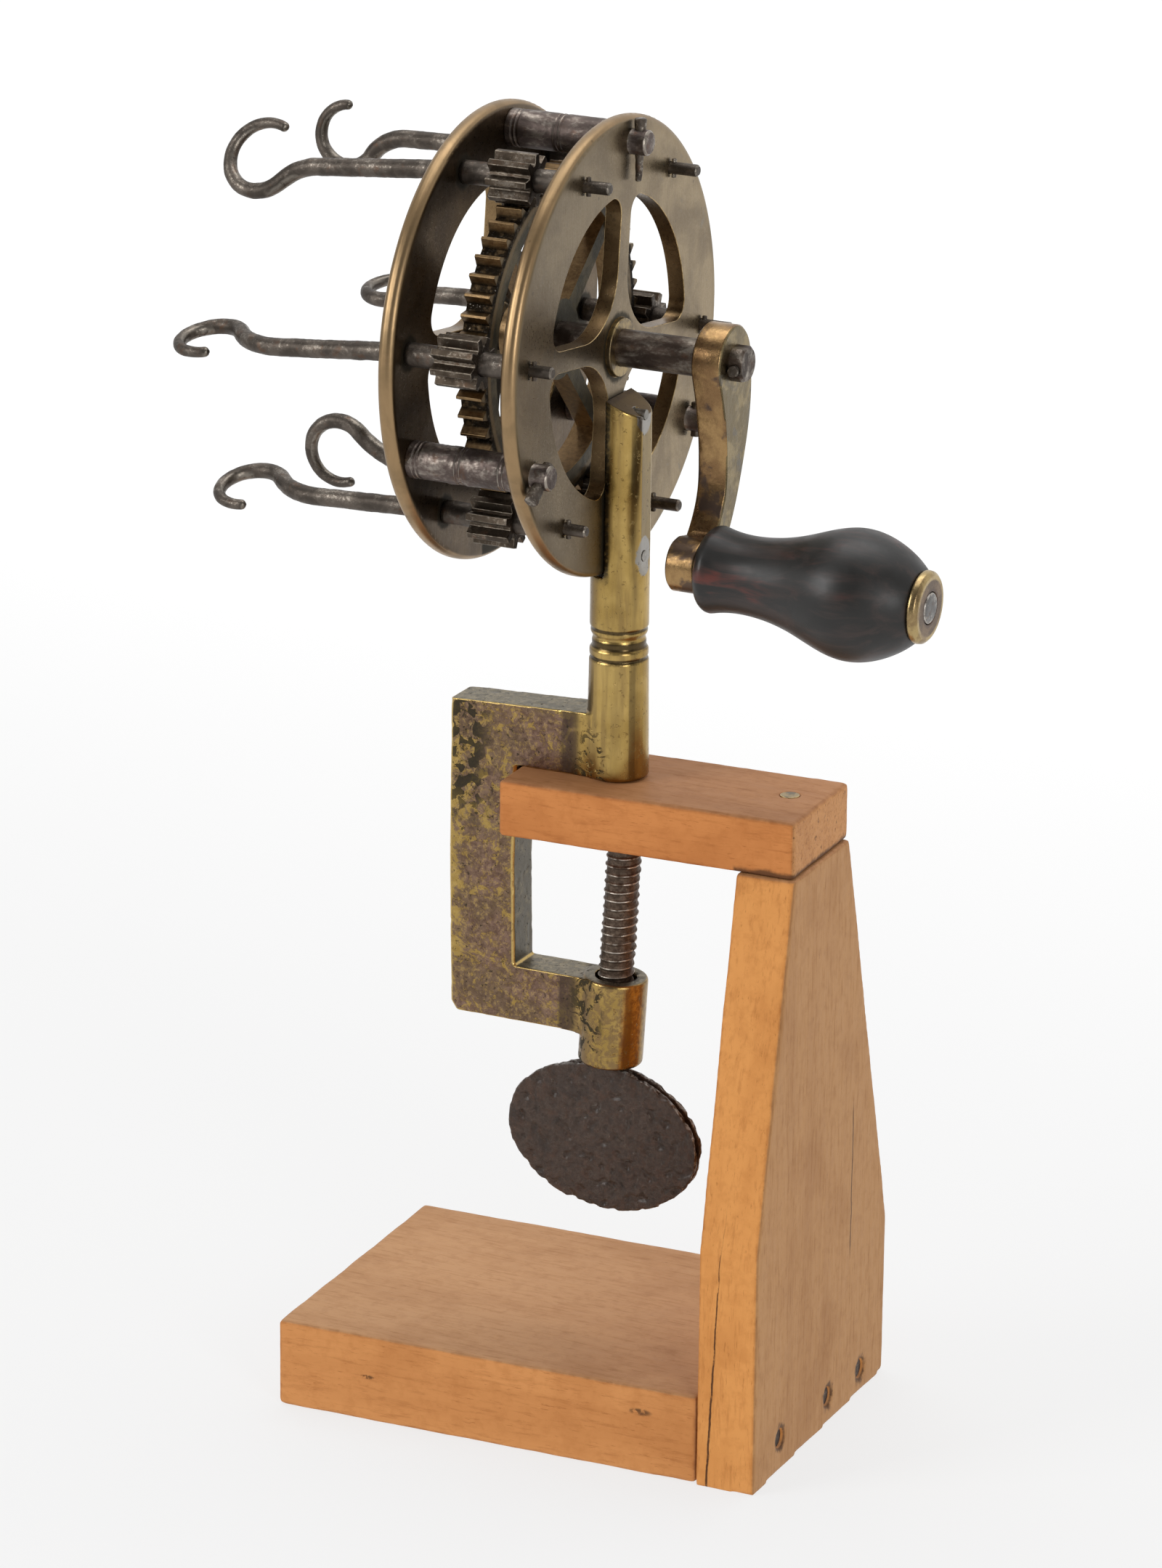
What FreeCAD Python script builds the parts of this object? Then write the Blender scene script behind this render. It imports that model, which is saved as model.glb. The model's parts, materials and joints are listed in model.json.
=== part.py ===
import FreeCAD, Part
import math
import os
from collections import namedtuple
from FreeCAD import Rotation, Vector

# Hand-cranked cord twister with six hooks, held by its C-clamp on a small wooden stand.
# Millimetres. +Z is up and +X runs along the crank shaft towards the crank.
# The origin is where the axis of the post meets the underside of the stand's base.
# Angles in the twister's pattern are counted from +Y towards +Z, seen from the crank.

# ---- head: two plates on three pillars, pierced for the shaft and six spindles ----
SHAFT_Z = 308.35
PATTERN_TURN = -6.2
PLATE_R = 62.5
PLATE_T = 4.8
PLATE_EDGE_R = 2.1
RING_INNER_R = 41.5
FRONT_FACE_X = -1.35
PLATE_GAP = 31.1
SPOKE_HALF_W = 3.0
SPOKE_HUB_FILLET = 18.0
SPOKE_RING_FILLET = 5.0
BUSH_R = 8.0
BUSH_STAND_OUT = 1.4
BUSH_STAND_IN = 0.6
BUSH_LIP_R = 0.4
RUN_CLEARANCE = 0.05
SIDE_CLEARANCE = 0.25

PILLAR_PITCH_R = 55.3
PILLAR_R = 5.25
TENON_R = 3.5
TENON_STUB = 5.2
SCRIBE_DEPTH = 0.3
TENON_END_BEVEL = 0.6
PIN_OFF_PLATE = 0.35
PIN_END_R = 0.35

# ---- gear train: module and centre distance from the tooth counts ----
GEAR_TEETH = 54
PINION_TEETH = 8
CENTRE_DISTANCE = 52.95
GEAR_TIP_R = 47.6
GEAR_ROOT_R = 44.9
GEAR_TIP_HALF = 0.45
GEAR_ROOT_HALF = 2.0
GEAR_X = (-26.6, -16.4)
GEAR_RIM_R = 38.5
GEAR_HUB_R = 11.0
GEAR_BOSS_X = -33.0
GEAR_BOSS_R = 8.5
PIN_STAND_OUT = 0.7
GEAR_SPOKE_HALF_W = 2.0
GEAR_SPOKE_INSET = 1.2
GEAR_SPOKE_START = 41.0
GEAR_PIN_R = (1.4, 1.1)
PINION_TIP_R = 7.25
PINION_ROOT_R = 4.7
PINION_TIP_HALF = 0.95
PINION_ROOT_HALF = 1.3
PINION_X = (-27.6, -15.3)

# ---- shaft, crank and handle ----
SHAFT_R = 5.1
SHAFT_REAR_X = -44.6
SQUARE_ACROSS = 8.9
SHAFT_END_X = 37.0
ARM_X = (24.7, 33.2)
ARM_HEAD_R = 10.2
ARM_EYE_R = 7.4
ARM_EYE = (-17.4, -52.1)
ARM_EDGE_R = 0.7
CRANK_PIN = (1.6, 1.35, 12.0)
CRANK_PIN_DROP = 1.0
PIN_OFF_ARM = 0.2
SHAFT_END_BEVEL = 0.7
HANDLE_DROOP = 1.8
HANDLE_SPINDLE_R = 3.0
SPINDLE_ROOT = 8.4
HANDLE_START = 0.45
HANDLE_LENGTH = 62.5
FERRULE_R = 9.9
FERRULE_T = 2.9
RIVET_R = 4.3
RIVET_SINK = 0.9
RIVET_CROWN = 0.5
RIVET_CLEARANCE = 0.15

# ---- hook spindles ----
JOURNAL_FRONT_R = 1.7
JOURNAL_REAR_R = 2.7
ARBOR_R = 3.3
JOURNAL_OVERLAP = 0.8
SHANK_R = 2.65
STUB_BEVEL = 0.5
BEND_WIRE_R = 2.55
LOOP_WIRE_R = 2.4
TIP_R = 1.4
LOOP_SPANS = 4
COTTER_R = 0.7
COTTER_HALF_LENGTH = 2.6
# angle: place in the pattern; stub: length in front of the plate; roll: way the hook bends;
# droop: degrees that it hangs off its axis; bend_r: radius of the bend out of the shank;
# centre: loop centre as distance behind the rear plate and offset to the side of the bend;
# loop_r: loop radius; sweep: degrees past the nose.
Hook = namedtuple("Hook", "angle stub roll droop bend_r centre loop_r sweep")
HOOKS = [
    Hook(0, 9.2, 188, 2.2, 14, (54.5, -1.6), 8.5, 115),
    Hook(60, 8.4, 267, 1.3, 14, (57.6, 0.7), 8.6, 97),
    Hook(120, 7.5, 236, 5.3, 14.5, (56.6, -2.5), 9.9, 125),
    Hook(180, 6.5, 11, 5.0, 20, (56.8, 3.3), 8.5, 116),
    Hook(240, 6.5, 17, 1.9, 19, (54.9, 0.8), 8.8, 108),
    Hook(300, 9.0, 93, 0.0, 26, (55.2, 1.5), 9.0, 118),
]

# ---- post and C-clamp casting ----
POST_R = 8.15
FOOT_R = 8.7
BOARD_TOP_Z = 188.0
POST_SHOULDER_Z = 245.8
POST_TOP_Z = 295.4
POST_TOP_SLOPE = 27.0
POST_FLAT_X = 7.6
POST_FLAT_Z = 249.0
POST_RIVET_R = 1.4
POST_RIVET_Y = -1.0
RIVET_PROUD = 0.15
POST_RIVET_Z = (251.5, 291.0)
CLAMP_HALF_T = 6.25
CLAMP_OUTER_X = -48.3
CLAMP_INNER_X = -28.0
UPPER_ARM_TOP = (204.6, 206.5)
LOWER_ARM_Z = (113.3, 129.4)
CLAMP_EDGE_R = 0.8
COVE_R = 6.0
BOSS_R = 9.1
BOSS_Z = (104.3, 129.7)
BOSS_X = 0.4
BOSS_EDGE_R = 1.0
SCREW_LEAN = 3.3

# ---- clamp screw ----
SCREW_R = 5.3
THREAD_PITCH = 2.5
THREAD_DEPTH = 0.7
SCREW_TIP_GAP = 0.15
SCREW_BELOW_BOSS = 0.9
BOSS_BORE_R = 5.75
THUMB_HALF_W = 29.8
THUMB_HALF_H = 21.4
THUMB_Z = 81.8
LEAF_T = 1.9
LEAF_EDGE_R = 0.7
CORE_T = 1.6
THUMB_TURN = -2.0

# ---- wooden stand, square to its own board ----
STAND_TURN = 2.2
BASE_X = (-84.8, 42.9)
BASE_Y = (-39.0, 57.5)
BASE_T = 25.9
UPRIGHT_X = (42.9, 60.5)
UPRIGHT_FOOT_Y = (-39.7, 57.5)
UPRIGHT_TOP_Y = (-18.6, 21.5)
UPRIGHT_SQUARE_Z = (70.0, 48.0)
BOARD_X = (-27.4, 59.8)
BOARD_T = 16.3
WOOD_EDGE_R = 1.0
BASE_SCREWS = [(-20.3, 9.7), (15.0, 8.2), (39.9, 7.0)]
BOARD_SCREW = (49.3, 4.1)
SCREW_HEAD_R = 2.8
SCREW_SHANK_R = 1.6
SCREW_HEAD_T = 2.0
SCREW_LENGTH = 30.0
SCREW_SUNK = 1.2

X_DIR = Vector(1, 0, 0)
Y_DIR = Vector(0, 1, 0)
Z_DIR = Vector(0, 0, 1)
THROUGH_X = (-60, 60)
BOARD_UNDER_Z = BOARD_TOP_Z - BOARD_T
BACK_FACE_X = FRONT_FACE_X - PLATE_T
REAR_PLATE_X = BACK_FACE_X - PLATE_GAP - PLATE_T
REAR_INNER_X = REAR_PLATE_X + PLATE_T

os.makedirs("parts", exist_ok=True)


# ---------------------------------------------------------------- helpers
def save(name, *solids):
    """Write one node; several solids of one node go out as a compound."""
    shape = solids[0] if len(solids) == 1 else Part.makeCompound(list(solids))
    shape.exportStep(os.path.join("parts", name + ".step"))


def polar(radius, degrees):
    """Point (y, z) of the twister's pattern, turned with the head."""
    angle = math.radians(degrees + PATTERN_TURN)
    return radius * math.cos(angle), SHAFT_Z + radius * math.sin(angle)


def x_rod(radius, x_range, y=0.0, z=SHAFT_Z):
    """Cylinder along X between two values of x."""
    start, end = x_range
    return Part.makeCylinder(radius, end - start, Vector(start, y, z), X_DIR)


def face_of(points):
    """Plane face inside a closed polygon."""
    return Part.Face(Part.makePolygon(points + [points[0]]))


def rims_of(solid):
    """The round edges at the ends of a cylinder."""
    return [edge for edge in solid.Edges if edge.Closed]


def turned(profile, base, axis, side):
    """Solid of revolution of (distance along axis, radius) points."""
    points = [base + axis * along + side * radius for along, radius in profile]
    return face_of(points).revolve(base, axis, 360)


def turned_x(profile, y=0.0, z=SHAFT_Z):
    return turned(profile, Vector(0, y, z), X_DIR, Z_DIR)


def yz_prism(points, x_range):
    """Polygon of (y, z) points drawn out along X."""
    start, end = x_range
    face = face_of([Vector(start, y, z) for y, z in points])
    return face.extrude(X_DIR * (end - start))


def block(x_range, y_range, z_range, edge_r=0.0):
    """Box between pairs of limits, its edges rounded."""
    sizes = [high - low for low, high in (x_range, y_range, z_range)]
    solid = Part.makeBox(*sizes, Vector(x_range[0], y_range[0], z_range[0]))
    return solid.makeFillet(edge_r, solid.Edges) if edge_r else solid


def on_stand(shape):
    """Turn a piece of the stand to the small angle at which it stands to the twister."""
    return shape.rotated(Vector(0, 0, 0), Z_DIR, STAND_TURN)


def leaned(shape):
    """Turn a piece that was drawn upright about the axis of the leaning clamp screw."""
    return shape.rotated(Vector(BOSS_X, 0, BOSS_Z[1]), Y_DIR, SCREW_LEAN)


# ---------------------------------------------------------------- head
def window(rotation):
    """One of the four openings between the spokes, drawn out along X."""
    half, hub, ring = SPOKE_HALF_W, SPOKE_HUB_FILLET, SPOKE_RING_FILLET
    centre = half + hub
    end = half + ring
    reach = math.sqrt((RING_INNER_R - ring) ** 2 - end ** 2)
    tip = math.atan2(end, reach)
    touch = (RING_INNER_R * math.cos(tip), RING_INNER_R * math.sin(tip))
    slant = math.radians(-45) + tip / 2
    knuckle = (reach + ring * math.cos(slant), end + ring * math.sin(slant))
    low = [(centre, half), (reach, half), knuckle, touch]
    bend = centre - hub * math.sqrt(0.5)
    middle = RING_INNER_R * math.sqrt(0.5)

    def place(point):
        return Vector(-60, point[0], SHAFT_Z + point[1])

    def mirrored(point):
        return (point[1], point[0])

    edges = [
        Part.LineSegment(place(low[0]), place(low[1])),
        Part.Arc(place(low[1]), place(low[2]), place(low[3])),
        Part.Arc(place(low[3]), place((middle, middle)), place(mirrored(low[3]))),
        Part.Arc(place(mirrored(low[3])), place(mirrored(low[2])), place(mirrored(low[1]))),
        Part.LineSegment(place(mirrored(low[1])), place(mirrored(low[0]))),
        Part.Arc(place(mirrored(low[0])), place((bend, bend)), place(low[0])),
    ]
    prism = Part.Face(Part.Wire([edge.toShape() for edge in edges])).extrude(X_DIR * 80)
    return prism.rotated(Vector(0, 0, SHAFT_Z), X_DIR, rotation + PATTERN_TURN)


def plate(x_low, journal_r):
    """Pierced plate with rounded rim, six journal holes and three tenon holes."""
    span = (x_low, x_low + PLATE_T)
    disc = x_rod(PLATE_R, span)
    disc = disc.makeFillet(PLATE_EDGE_R, rims_of(disc))
    cutters = [window(quarter) for quarter in (0, 90, 180, 270)]
    cutters.append(x_rod(BUSH_R, THROUGH_X))
    for hook in HOOKS:
        y, z = polar(CENTRE_DISTANCE, hook.angle)
        cutters.append(x_rod(journal_r + RUN_CLEARANCE, THROUGH_X, y, z))
    for angle in PILLARS.values():
        cutters.append(x_rod(TENON_R, THROUGH_X, *polar(PILLAR_PITCH_R, angle)))
    return disc.cut(cutters)


def bush(x_range):
    """Brass bush in the middle of a plate, with a rounded outer lip."""
    shell = x_rod(BUSH_R, x_range)
    shell = shell.makeFillet(BUSH_LIP_R, rims_of(shell))
    return shell.cut(x_rod(SHAFT_R + RUN_CLEARANCE, THROUGH_X))


def pillar(angle):
    """Turned distance pillar with a tenon at each end and three pairs of scribed lines."""
    front, rear = BACK_FACE_X, REAR_INNER_X
    middle = (front + rear) / 2
    bevel, groove = TENON_END_BEVEL, SCRIBE_DEPTH
    tail = REAR_PLATE_X - bevel
    profile = [(tail, 0), (tail, TENON_R - bevel), (REAR_PLATE_X, TENON_R)]
    profile += [(rear, TENON_R), (rear, PILLAR_R)]
    for line in (rear + 2.2, rear + 3.4, middle - 0.7, middle + 0.7, front - 3.4, front - 2.2):
        profile += [(line - groove, PILLAR_R), (line, PILLAR_R - groove), (line + groove, PILLAR_R)]
    tip = FRONT_FACE_X + TENON_STUB
    profile += [(front, PILLAR_R), (front, TENON_R)]
    profile += [(tip - bevel, TENON_R), (tip, TENON_R - bevel), (tip, 0)]
    return turned_x(profile, *polar(PILLAR_PITCH_R, angle))


def taper_pin(angle, direction, above, below, thick, thin):
    """Taper pin across a pillar's stub, against the front plate."""
    y, z = polar(PILLAR_PITCH_R, angle)
    way = Vector(0, math.cos(math.radians(direction)), math.sin(math.radians(direction)))
    start = Vector(FRONT_FACE_X + thick + PIN_OFF_PLATE, y, z) - way * above
    pin = Part.makeCone(thick, thin, above + below, start, way)
    return pin.makeFillet(PIN_END_R, rims_of(pin))


PILLARS = {"top": 88.7, "near": 211.4, "far": 332.4}
# taper pins: direction in which each gets thinner, its reach from the stub's axis at the thick
# and the thin end, and its radius there
PIN_WAYS = {
    "top": (267, 6.6, 10.6, 1.75, 0.9),
    "near": (37, 8.6, 4.4, 2.0, 1.6),
    "far": (264, 4.8, 5.0, 1.75, 1.4),
}


def make_head():
    front = plate(BACK_FACE_X, JOURNAL_FRONT_R)
    for z in POST_RIVET_Z:
        front = front.cut(x_rod(POST_RIVET_R, THROUGH_X, POST_RIVET_Y, z))
    save("front_plate", front)
    save("rear_plate", plate(REAR_PLATE_X, JOURNAL_REAR_R))
    save("front_bush", bush((BACK_FACE_X - BUSH_STAND_IN, FRONT_FACE_X + BUSH_STAND_OUT)))
    save("rear_bush", bush((REAR_PLATE_X - BUSH_STAND_OUT, REAR_INNER_X + BUSH_STAND_IN)))
    for name, angle in PILLARS.items():
        pin = taper_pin(angle, *PIN_WAYS[name])
        save("pillar_" + name, pillar(angle).cut(pin))
        save("pillar_pin_" + name, pin)


# ---------------------------------------------------------------- gear train
def toothed(teeth, tip, root, x_range, phase):
    """Prism with straight-flanked teeth; tip and root are (radius, half width)."""
    points = []
    for tooth in range(teeth):
        angle = math.radians(phase + 360.0 * tooth / teeth)
        for radius, half in ((root[0], -root[1]), (tip[0], -tip[1]), (tip[0], tip[1]), (root[0], root[1])):
            along = math.sqrt(radius ** 2 - half ** 2)
            y = along * math.cos(angle) - half * math.sin(angle)
            z = along * math.sin(angle) + half * math.cos(angle)
            points.append((y, z))
    return yz_prism(points, x_range)


def gear_spoke(direction):
    """Narrow spoke of the gear, widening a little towards the hub."""
    wide, narrow = GEAR_SPOKE_HALF_W * 1.6, GEAR_SPOKE_HALF_W
    outline = [(0, -wide), (0, wide), (GEAR_RIM_R + 1, narrow), (GEAR_RIM_R + 1, -narrow)]
    spoke = yz_prism(outline, (GEAR_X[0] + GEAR_SPOKE_INSET, GEAR_X[1] - GEAR_SPOKE_INSET))
    spoke = spoke.rotated(Vector(0, 0, 0), X_DIR, direction)
    return spoke.translated(Vector(0, 0, SHAFT_Z))


def make_gear():
    """Drive gear: a toothed rim on a centre of four spokes and a hub with a long boss and its cross pin."""
    tip, root = (GEAR_TIP_R, GEAR_TIP_HALF), (GEAR_ROOT_R, GEAR_ROOT_HALF)
    teeth = toothed(GEAR_TEETH, tip, root, GEAR_X, PATTERN_TURN)
    inside = x_rod(GEAR_RIM_R, THROUGH_X)
    save("drive_gear", teeth.translated(Vector(0, 0, SHAFT_Z)).cut(inside))
    hub = x_rod(GEAR_HUB_R, GEAR_X).fuse(x_rod(GEAR_BOSS_R, (GEAR_BOSS_X, GEAR_X[0])))
    spokes = [gear_spoke(GEAR_SPOKE_START + quarter) for quarter in (0, 90, 180, 270)]
    top = Vector((GEAR_BOSS_X + GEAR_X[0]) / 2, 0, SHAFT_Z + GEAR_BOSS_R + PIN_STAND_OUT)
    pin = Part.makeCone(*GEAR_PIN_R, 2 * (GEAR_BOSS_R + PIN_STAND_OUT), top, Z_DIR * -1)
    centre = hub.fuse(spokes).removeSplitter().common(inside)
    save("gear_centre", centre.cut([x_rod(SHAFT_R, THROUGH_X), pin]))
    save("gear_pin", pin)
    return pin


def make_pinion(index, hook):
    """Eight-leaved pinion; a gap between leaves faces the drive gear."""
    y, z = polar(CENTRE_DISTANCE, hook.angle)
    phase = hook.angle + PATTERN_TURN + 180 + 180.0 / PINION_TEETH
    tip, root = (PINION_TIP_R, PINION_TIP_HALF), (PINION_ROOT_R, PINION_ROOT_HALF)
    leaves = toothed(PINION_TEETH, tip, root, PINION_X, phase).translated(Vector(0, y, z))
    save("pinion_%d" % index, leaves.cut(x_rod(ARBOR_R, THROUGH_X, y, z)))


# ---------------------------------------------------------------- hook spindles
def tapered_arc(centre, start, degrees, radii, normal, spans):
    """Round rod bent along a circular arc from start, thinning evenly; one solid for each span."""
    arm = start - centre
    step = degrees / spans
    solids = []
    for span in range(spans):
        turns = (span * step, (span + 0.5) * step, (span + 1) * step)
        points = [centre + Rotation(normal, turn).multVec(arm) for turn in turns]
        rings = []
        for place, point in ((span, points[0]), (span + 1, points[2])):
            radius = radii[0] + (radii[1] - radii[0]) * place / spans
            along = normal.cross(point - centre)
            rings.append(Part.Wire(Part.Circle(point, along, radius).toShape()))
        spine = Part.Wire(Part.Arc(*points).toShape())
        solids.append(spine.makePipeShell(rings, True, True))
    return solids


def hook_wire(hook, y, z):
    """Hook behind the rear plate: tapered shank, one bend and the open loop."""
    roll = math.radians(hook.roll)
    side = Vector(0, math.cos(roll), math.sin(roll))
    back = X_DIR * -1
    normal = back.cross(side)
    origin = Vector(REAR_PLATE_X, y, z)
    loop_s, loop_w = hook.centre
    run = math.sqrt((hook.bend_r + hook.loop_r) ** 2 - (hook.bend_r - loop_w) ** 2)
    bend_s = loop_s - run
    bend_centre = origin + back * bend_s + side * hook.bend_r
    loop_centre = origin + back * loop_s + side * loop_w
    bend_start = origin + back * bend_s
    rise = math.degrees(math.atan2(run, hook.bend_r - loop_w))
    to_loop = (loop_centre - bend_centre).normalize()
    meet = bend_centre + to_loop * hook.bend_r
    shank = Part.makeCone(SHANK_R, BEND_WIRE_R, bend_s, origin, back)
    bend = tapered_arc(bend_centre, bend_start, rise, (BEND_WIRE_R, LOOP_WIRE_R), normal, 1)
    turn = 90 + rise + hook.sweep
    loop = tapered_arc(loop_centre, meet, turn, (LOOP_WIRE_R, TIP_R), normal * -1, LOOP_SPANS)
    arm = Rotation(normal, -turn).multVec(meet - loop_centre)
    tip = Part.makeSphere(TIP_R, loop_centre + arm, arm.cross(normal), 0, 90)
    wire = shank.fuse(bend + loop + [tip])
    return wire.rotated(origin, Y_DIR, -hook.droop)


def make_spindle(index, hook):
    """One spindle with its hook, arbor, journals, front stub and retaining pin."""
    y, z = polar(CENTRE_DISTANCE, hook.angle)
    tip = FRONT_FACE_X + hook.stub
    profile = [
        (REAR_PLATE_X - JOURNAL_OVERLAP, 0),
        (REAR_PLATE_X - JOURNAL_OVERLAP, JOURNAL_REAR_R),
        (REAR_INNER_X + SIDE_CLEARANCE, JOURNAL_REAR_R),
        (REAR_INNER_X + SIDE_CLEARANCE, ARBOR_R),
        (BACK_FACE_X - SIDE_CLEARANCE, ARBOR_R),
        (BACK_FACE_X - SIDE_CLEARANCE, JOURNAL_FRONT_R),
        (tip - STUB_BEVEL, JOURNAL_FRONT_R),
        (tip, JOURNAL_FRONT_R - STUB_BEVEL),
        (tip, 0),
    ]
    cotter_x = FRONT_FACE_X + SIDE_CLEARANCE + COTTER_R
    foot = Vector(cotter_x, y, z - COTTER_HALF_LENGTH)
    cotter = Part.makeCylinder(COTTER_R, 2 * COTTER_HALF_LENGTH, foot, Z_DIR)
    arbor = turned_x(profile, y, z).fuse(hook_wire(hook, y, z)).cut(cotter)
    save("hook_spindle_%d" % index, arbor)
    save("spindle_cotter_%d" % index, cotter)


# ---------------------------------------------------------------- crank and handle
def make_shaft(gear_pin):
    """Main shaft: round journal length, then four flats for the crank arm and a pinned stub."""
    body = x_rod(SHAFT_R, (SHAFT_REAR_X, SHAFT_END_X))
    body = body.makeChamfer(SHAFT_END_BEVEL, rims_of(body))
    half, room = SQUARE_ACROSS / 2, 2 * SHAFT_R
    flats = block((ARM_X[0], THROUGH_X[1]), (-half, half), (SHAFT_Z - half, SHAFT_Z + half))
    squared = body.common(flats)
    plain = body.common(block((THROUGH_X[0], ARM_X[0]), (-room, room), (SHAFT_Z - room, SHAFT_Z + room)))
    thick, thin, length = CRANK_PIN
    start = Vector(ARM_X[1] + thick + PIN_OFF_ARM, -length / 2, SHAFT_Z - CRANK_PIN_DROP)
    pin = Part.makeCone(thick, thin, length, start, Y_DIR)
    save("main_shaft", plain.fuse(squared).cut([gear_pin, pin]))
    save("crank_pin", pin)


def make_arm():
    """Curved crank arm, round at the shaft and at the handle's eye."""
    eye_y, eye_z = ARM_EYE

    def at(point):
        return Vector(ARM_X[0], point[0], SHAFT_Z + point[1])

    def on_eye(degrees):
        angle = math.radians(degrees)
        return (eye_y + ARM_EYE_R * math.cos(angle), eye_z + ARM_EYE_R * math.sin(angle))

    far_side = [(ARM_HEAD_R, 0), (10.0, -18), (6.3, -30), (1.5, -41), on_eye(-30)]
    near_side = [(-11.4, -45.7), (-7.3, -40.5), (-4.9, -35), (-4.3, -28), (-5.2, -18), (-9.6, -3.5)]
    far_curve = Part.BSplineCurve()
    far_curve.interpolate([at(point) for point in far_side])
    near_curve = Part.BSplineCurve()
    near_curve.interpolate([at(point) for point in near_side])
    outline = [
        far_curve,
        Part.Arc(at(far_side[-1]), at(on_eye(-145)), at(on_eye(82))),
        Part.LineSegment(at(on_eye(82)), at(near_side[0])),
        near_curve,
        Part.Arc(at(near_side[-1]), at((0, ARM_HEAD_R)), at(far_side[0])),
    ]
    face = Part.Face(Part.Wire([curve.toShape() for curve in outline]))
    arm = face.extrude(X_DIR * (ARM_X[1] - ARM_X[0]))
    flat_edges = [edge for edge in arm.Edges if edge.BoundBox.XLength < 0.01]
    arm = arm.makeChamfer(ARM_EDGE_R, flat_edges)
    half = SQUARE_ACROSS / 2
    square = block(THROUGH_X, (-half, half), (SHAFT_Z - half, SHAFT_Z + half))
    hole = [(-SPINDLE_ROOT - 1, 0), (-SPINDLE_ROOT - 1, HANDLE_SPINDLE_R), (1, HANDLE_SPINDLE_R), (1, 0)]
    save("crank_arm", arm.cut([square.common(x_rod(SHAFT_R, THROUGH_X)), handle_axis_solid(hole)]))


def handle_axis_solid(profile):
    """Revolve (distance from the arm's outer face, radius) about the drooping handle axis."""
    base = Vector(ARM_X[1], ARM_EYE[0], SHAFT_Z + ARM_EYE[1])
    solid = turned(profile, base, X_DIR, Z_DIR)
    return solid.rotated(base, Y_DIR, HANDLE_DROOP)


def make_handle():
    """Turned grip and brass ferrule that spin on a riveted spindle fixed in the arm."""
    start, end = HANDLE_START, HANDLE_LENGTH
    bore = HANDLE_SPINDLE_R + RUN_CLEARANCE
    base = Vector(ARM_X[1], ARM_EYE[0], SHAFT_Z + ARM_EYE[1])

    def at(along, radius):
        return base + X_DIR * along + Z_DIR * radius

    swell = Part.BSplineCurve()
    swell_points = [(3.6, 12.0), (15, 10.7), (28, 13.2), (44, 17.8), (56.8, 14.1), (end, 9.6)]
    swell.interpolate([at(*point) for point in swell_points])
    outline = [
        Part.LineSegment(at(start, bore), at(start, 8.8)),
        Part.Arc(at(start, 8.8), at(1.6, 10.9), at(3.6, 12.0)),
        swell,
        Part.LineSegment(at(end, 9.6), at(end, bore)),
        Part.LineSegment(at(end, bore), at(start, bore)),
    ]
    grip = Part.Face(Part.Wire([edge.toShape() for edge in outline])).revolve(base, X_DIR, 360)
    save("handle_grip", grip.rotated(base, Y_DIR, HANDLE_DROOP))
    outer = end + FERRULE_T
    floor = outer - RIVET_SINK
    seat = RIVET_R + RIVET_CLEARANCE
    ferrule = [(end, bore), (end, FERRULE_R - 0.3), (end + 0.7, FERRULE_R), (floor, FERRULE_R - 0.2),
               (outer, FERRULE_R - 1.2), (outer, seat), (floor, seat), (floor, bore)]
    save("handle_ferrule", handle_axis_solid(ferrule))
    head = floor + RIVET_CLEARANCE
    crown = outer + RIVET_CROWN
    spindle = [(-SPINDLE_ROOT, 0), (-SPINDLE_ROOT, HANDLE_SPINDLE_R), (head, HANDLE_SPINDLE_R),
               (head, RIVET_R), (outer + 0.1, RIVET_R - 0.1), (crown, RIVET_R - 1.2), (crown, 0)]
    save("handle_spindle", handle_axis_solid(spindle))


# ---------------------------------------------------------------- post and clamp
def post():
    """Turned post on its foot, cut to half round where it backs the front plate."""
    top = POST_TOP_Z + 4
    edge = POST_R + 1
    profile = [(BOARD_TOP_Z, 0), (BOARD_TOP_Z, FOOT_R - 0.8), (BOARD_TOP_Z + 0.8, FOOT_R)]
    profile += [(221.6, POST_R + 0.1), (222.2, POST_R - 0.6), (222.8, POST_R)]
    profile += [(224.7, POST_R), (225.4, POST_R - 0.7), (227.0, POST_R - 0.6), (228.0, POST_R - 1.0)]
    profile += [(229.2, POST_R - 0.3), (230.0, POST_R - 0.2), (230.5, POST_R - 0.7), (231.1, POST_R)]
    profile += [(top, POST_R), (top, 0)]
    shaft = turned(profile, Vector(0, 0, 0), Z_DIR, X_DIR)
    behind = block((-20, FRONT_FACE_X), (-20, 20), (POST_SHOULDER_Z, top + 5))
    drop = math.tan(math.radians(POST_TOP_SLOPE))
    roof = [(FRONT_FACE_X - 5, POST_TOP_Z + 5 * drop), (20, POST_TOP_Z - (20 - FRONT_FACE_X) * drop)]
    roof += [(20, top + 9), (FRONT_FACE_X - 5, top + 9)]
    slope = face_of([Vector(x, -20, z) for x, z in roof]).extrude(Y_DIR * 40)
    corners = [(POST_FLAT_X, POST_FLAT_Z), (edge, POST_FLAT_Z - 6), (edge, top), (POST_FLAT_X, top)]
    flat = face_of([Vector(x, -20, z) for x, z in corners]).extrude(Y_DIR * 40)
    return shaft.cut([behind, slope, flat])


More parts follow.
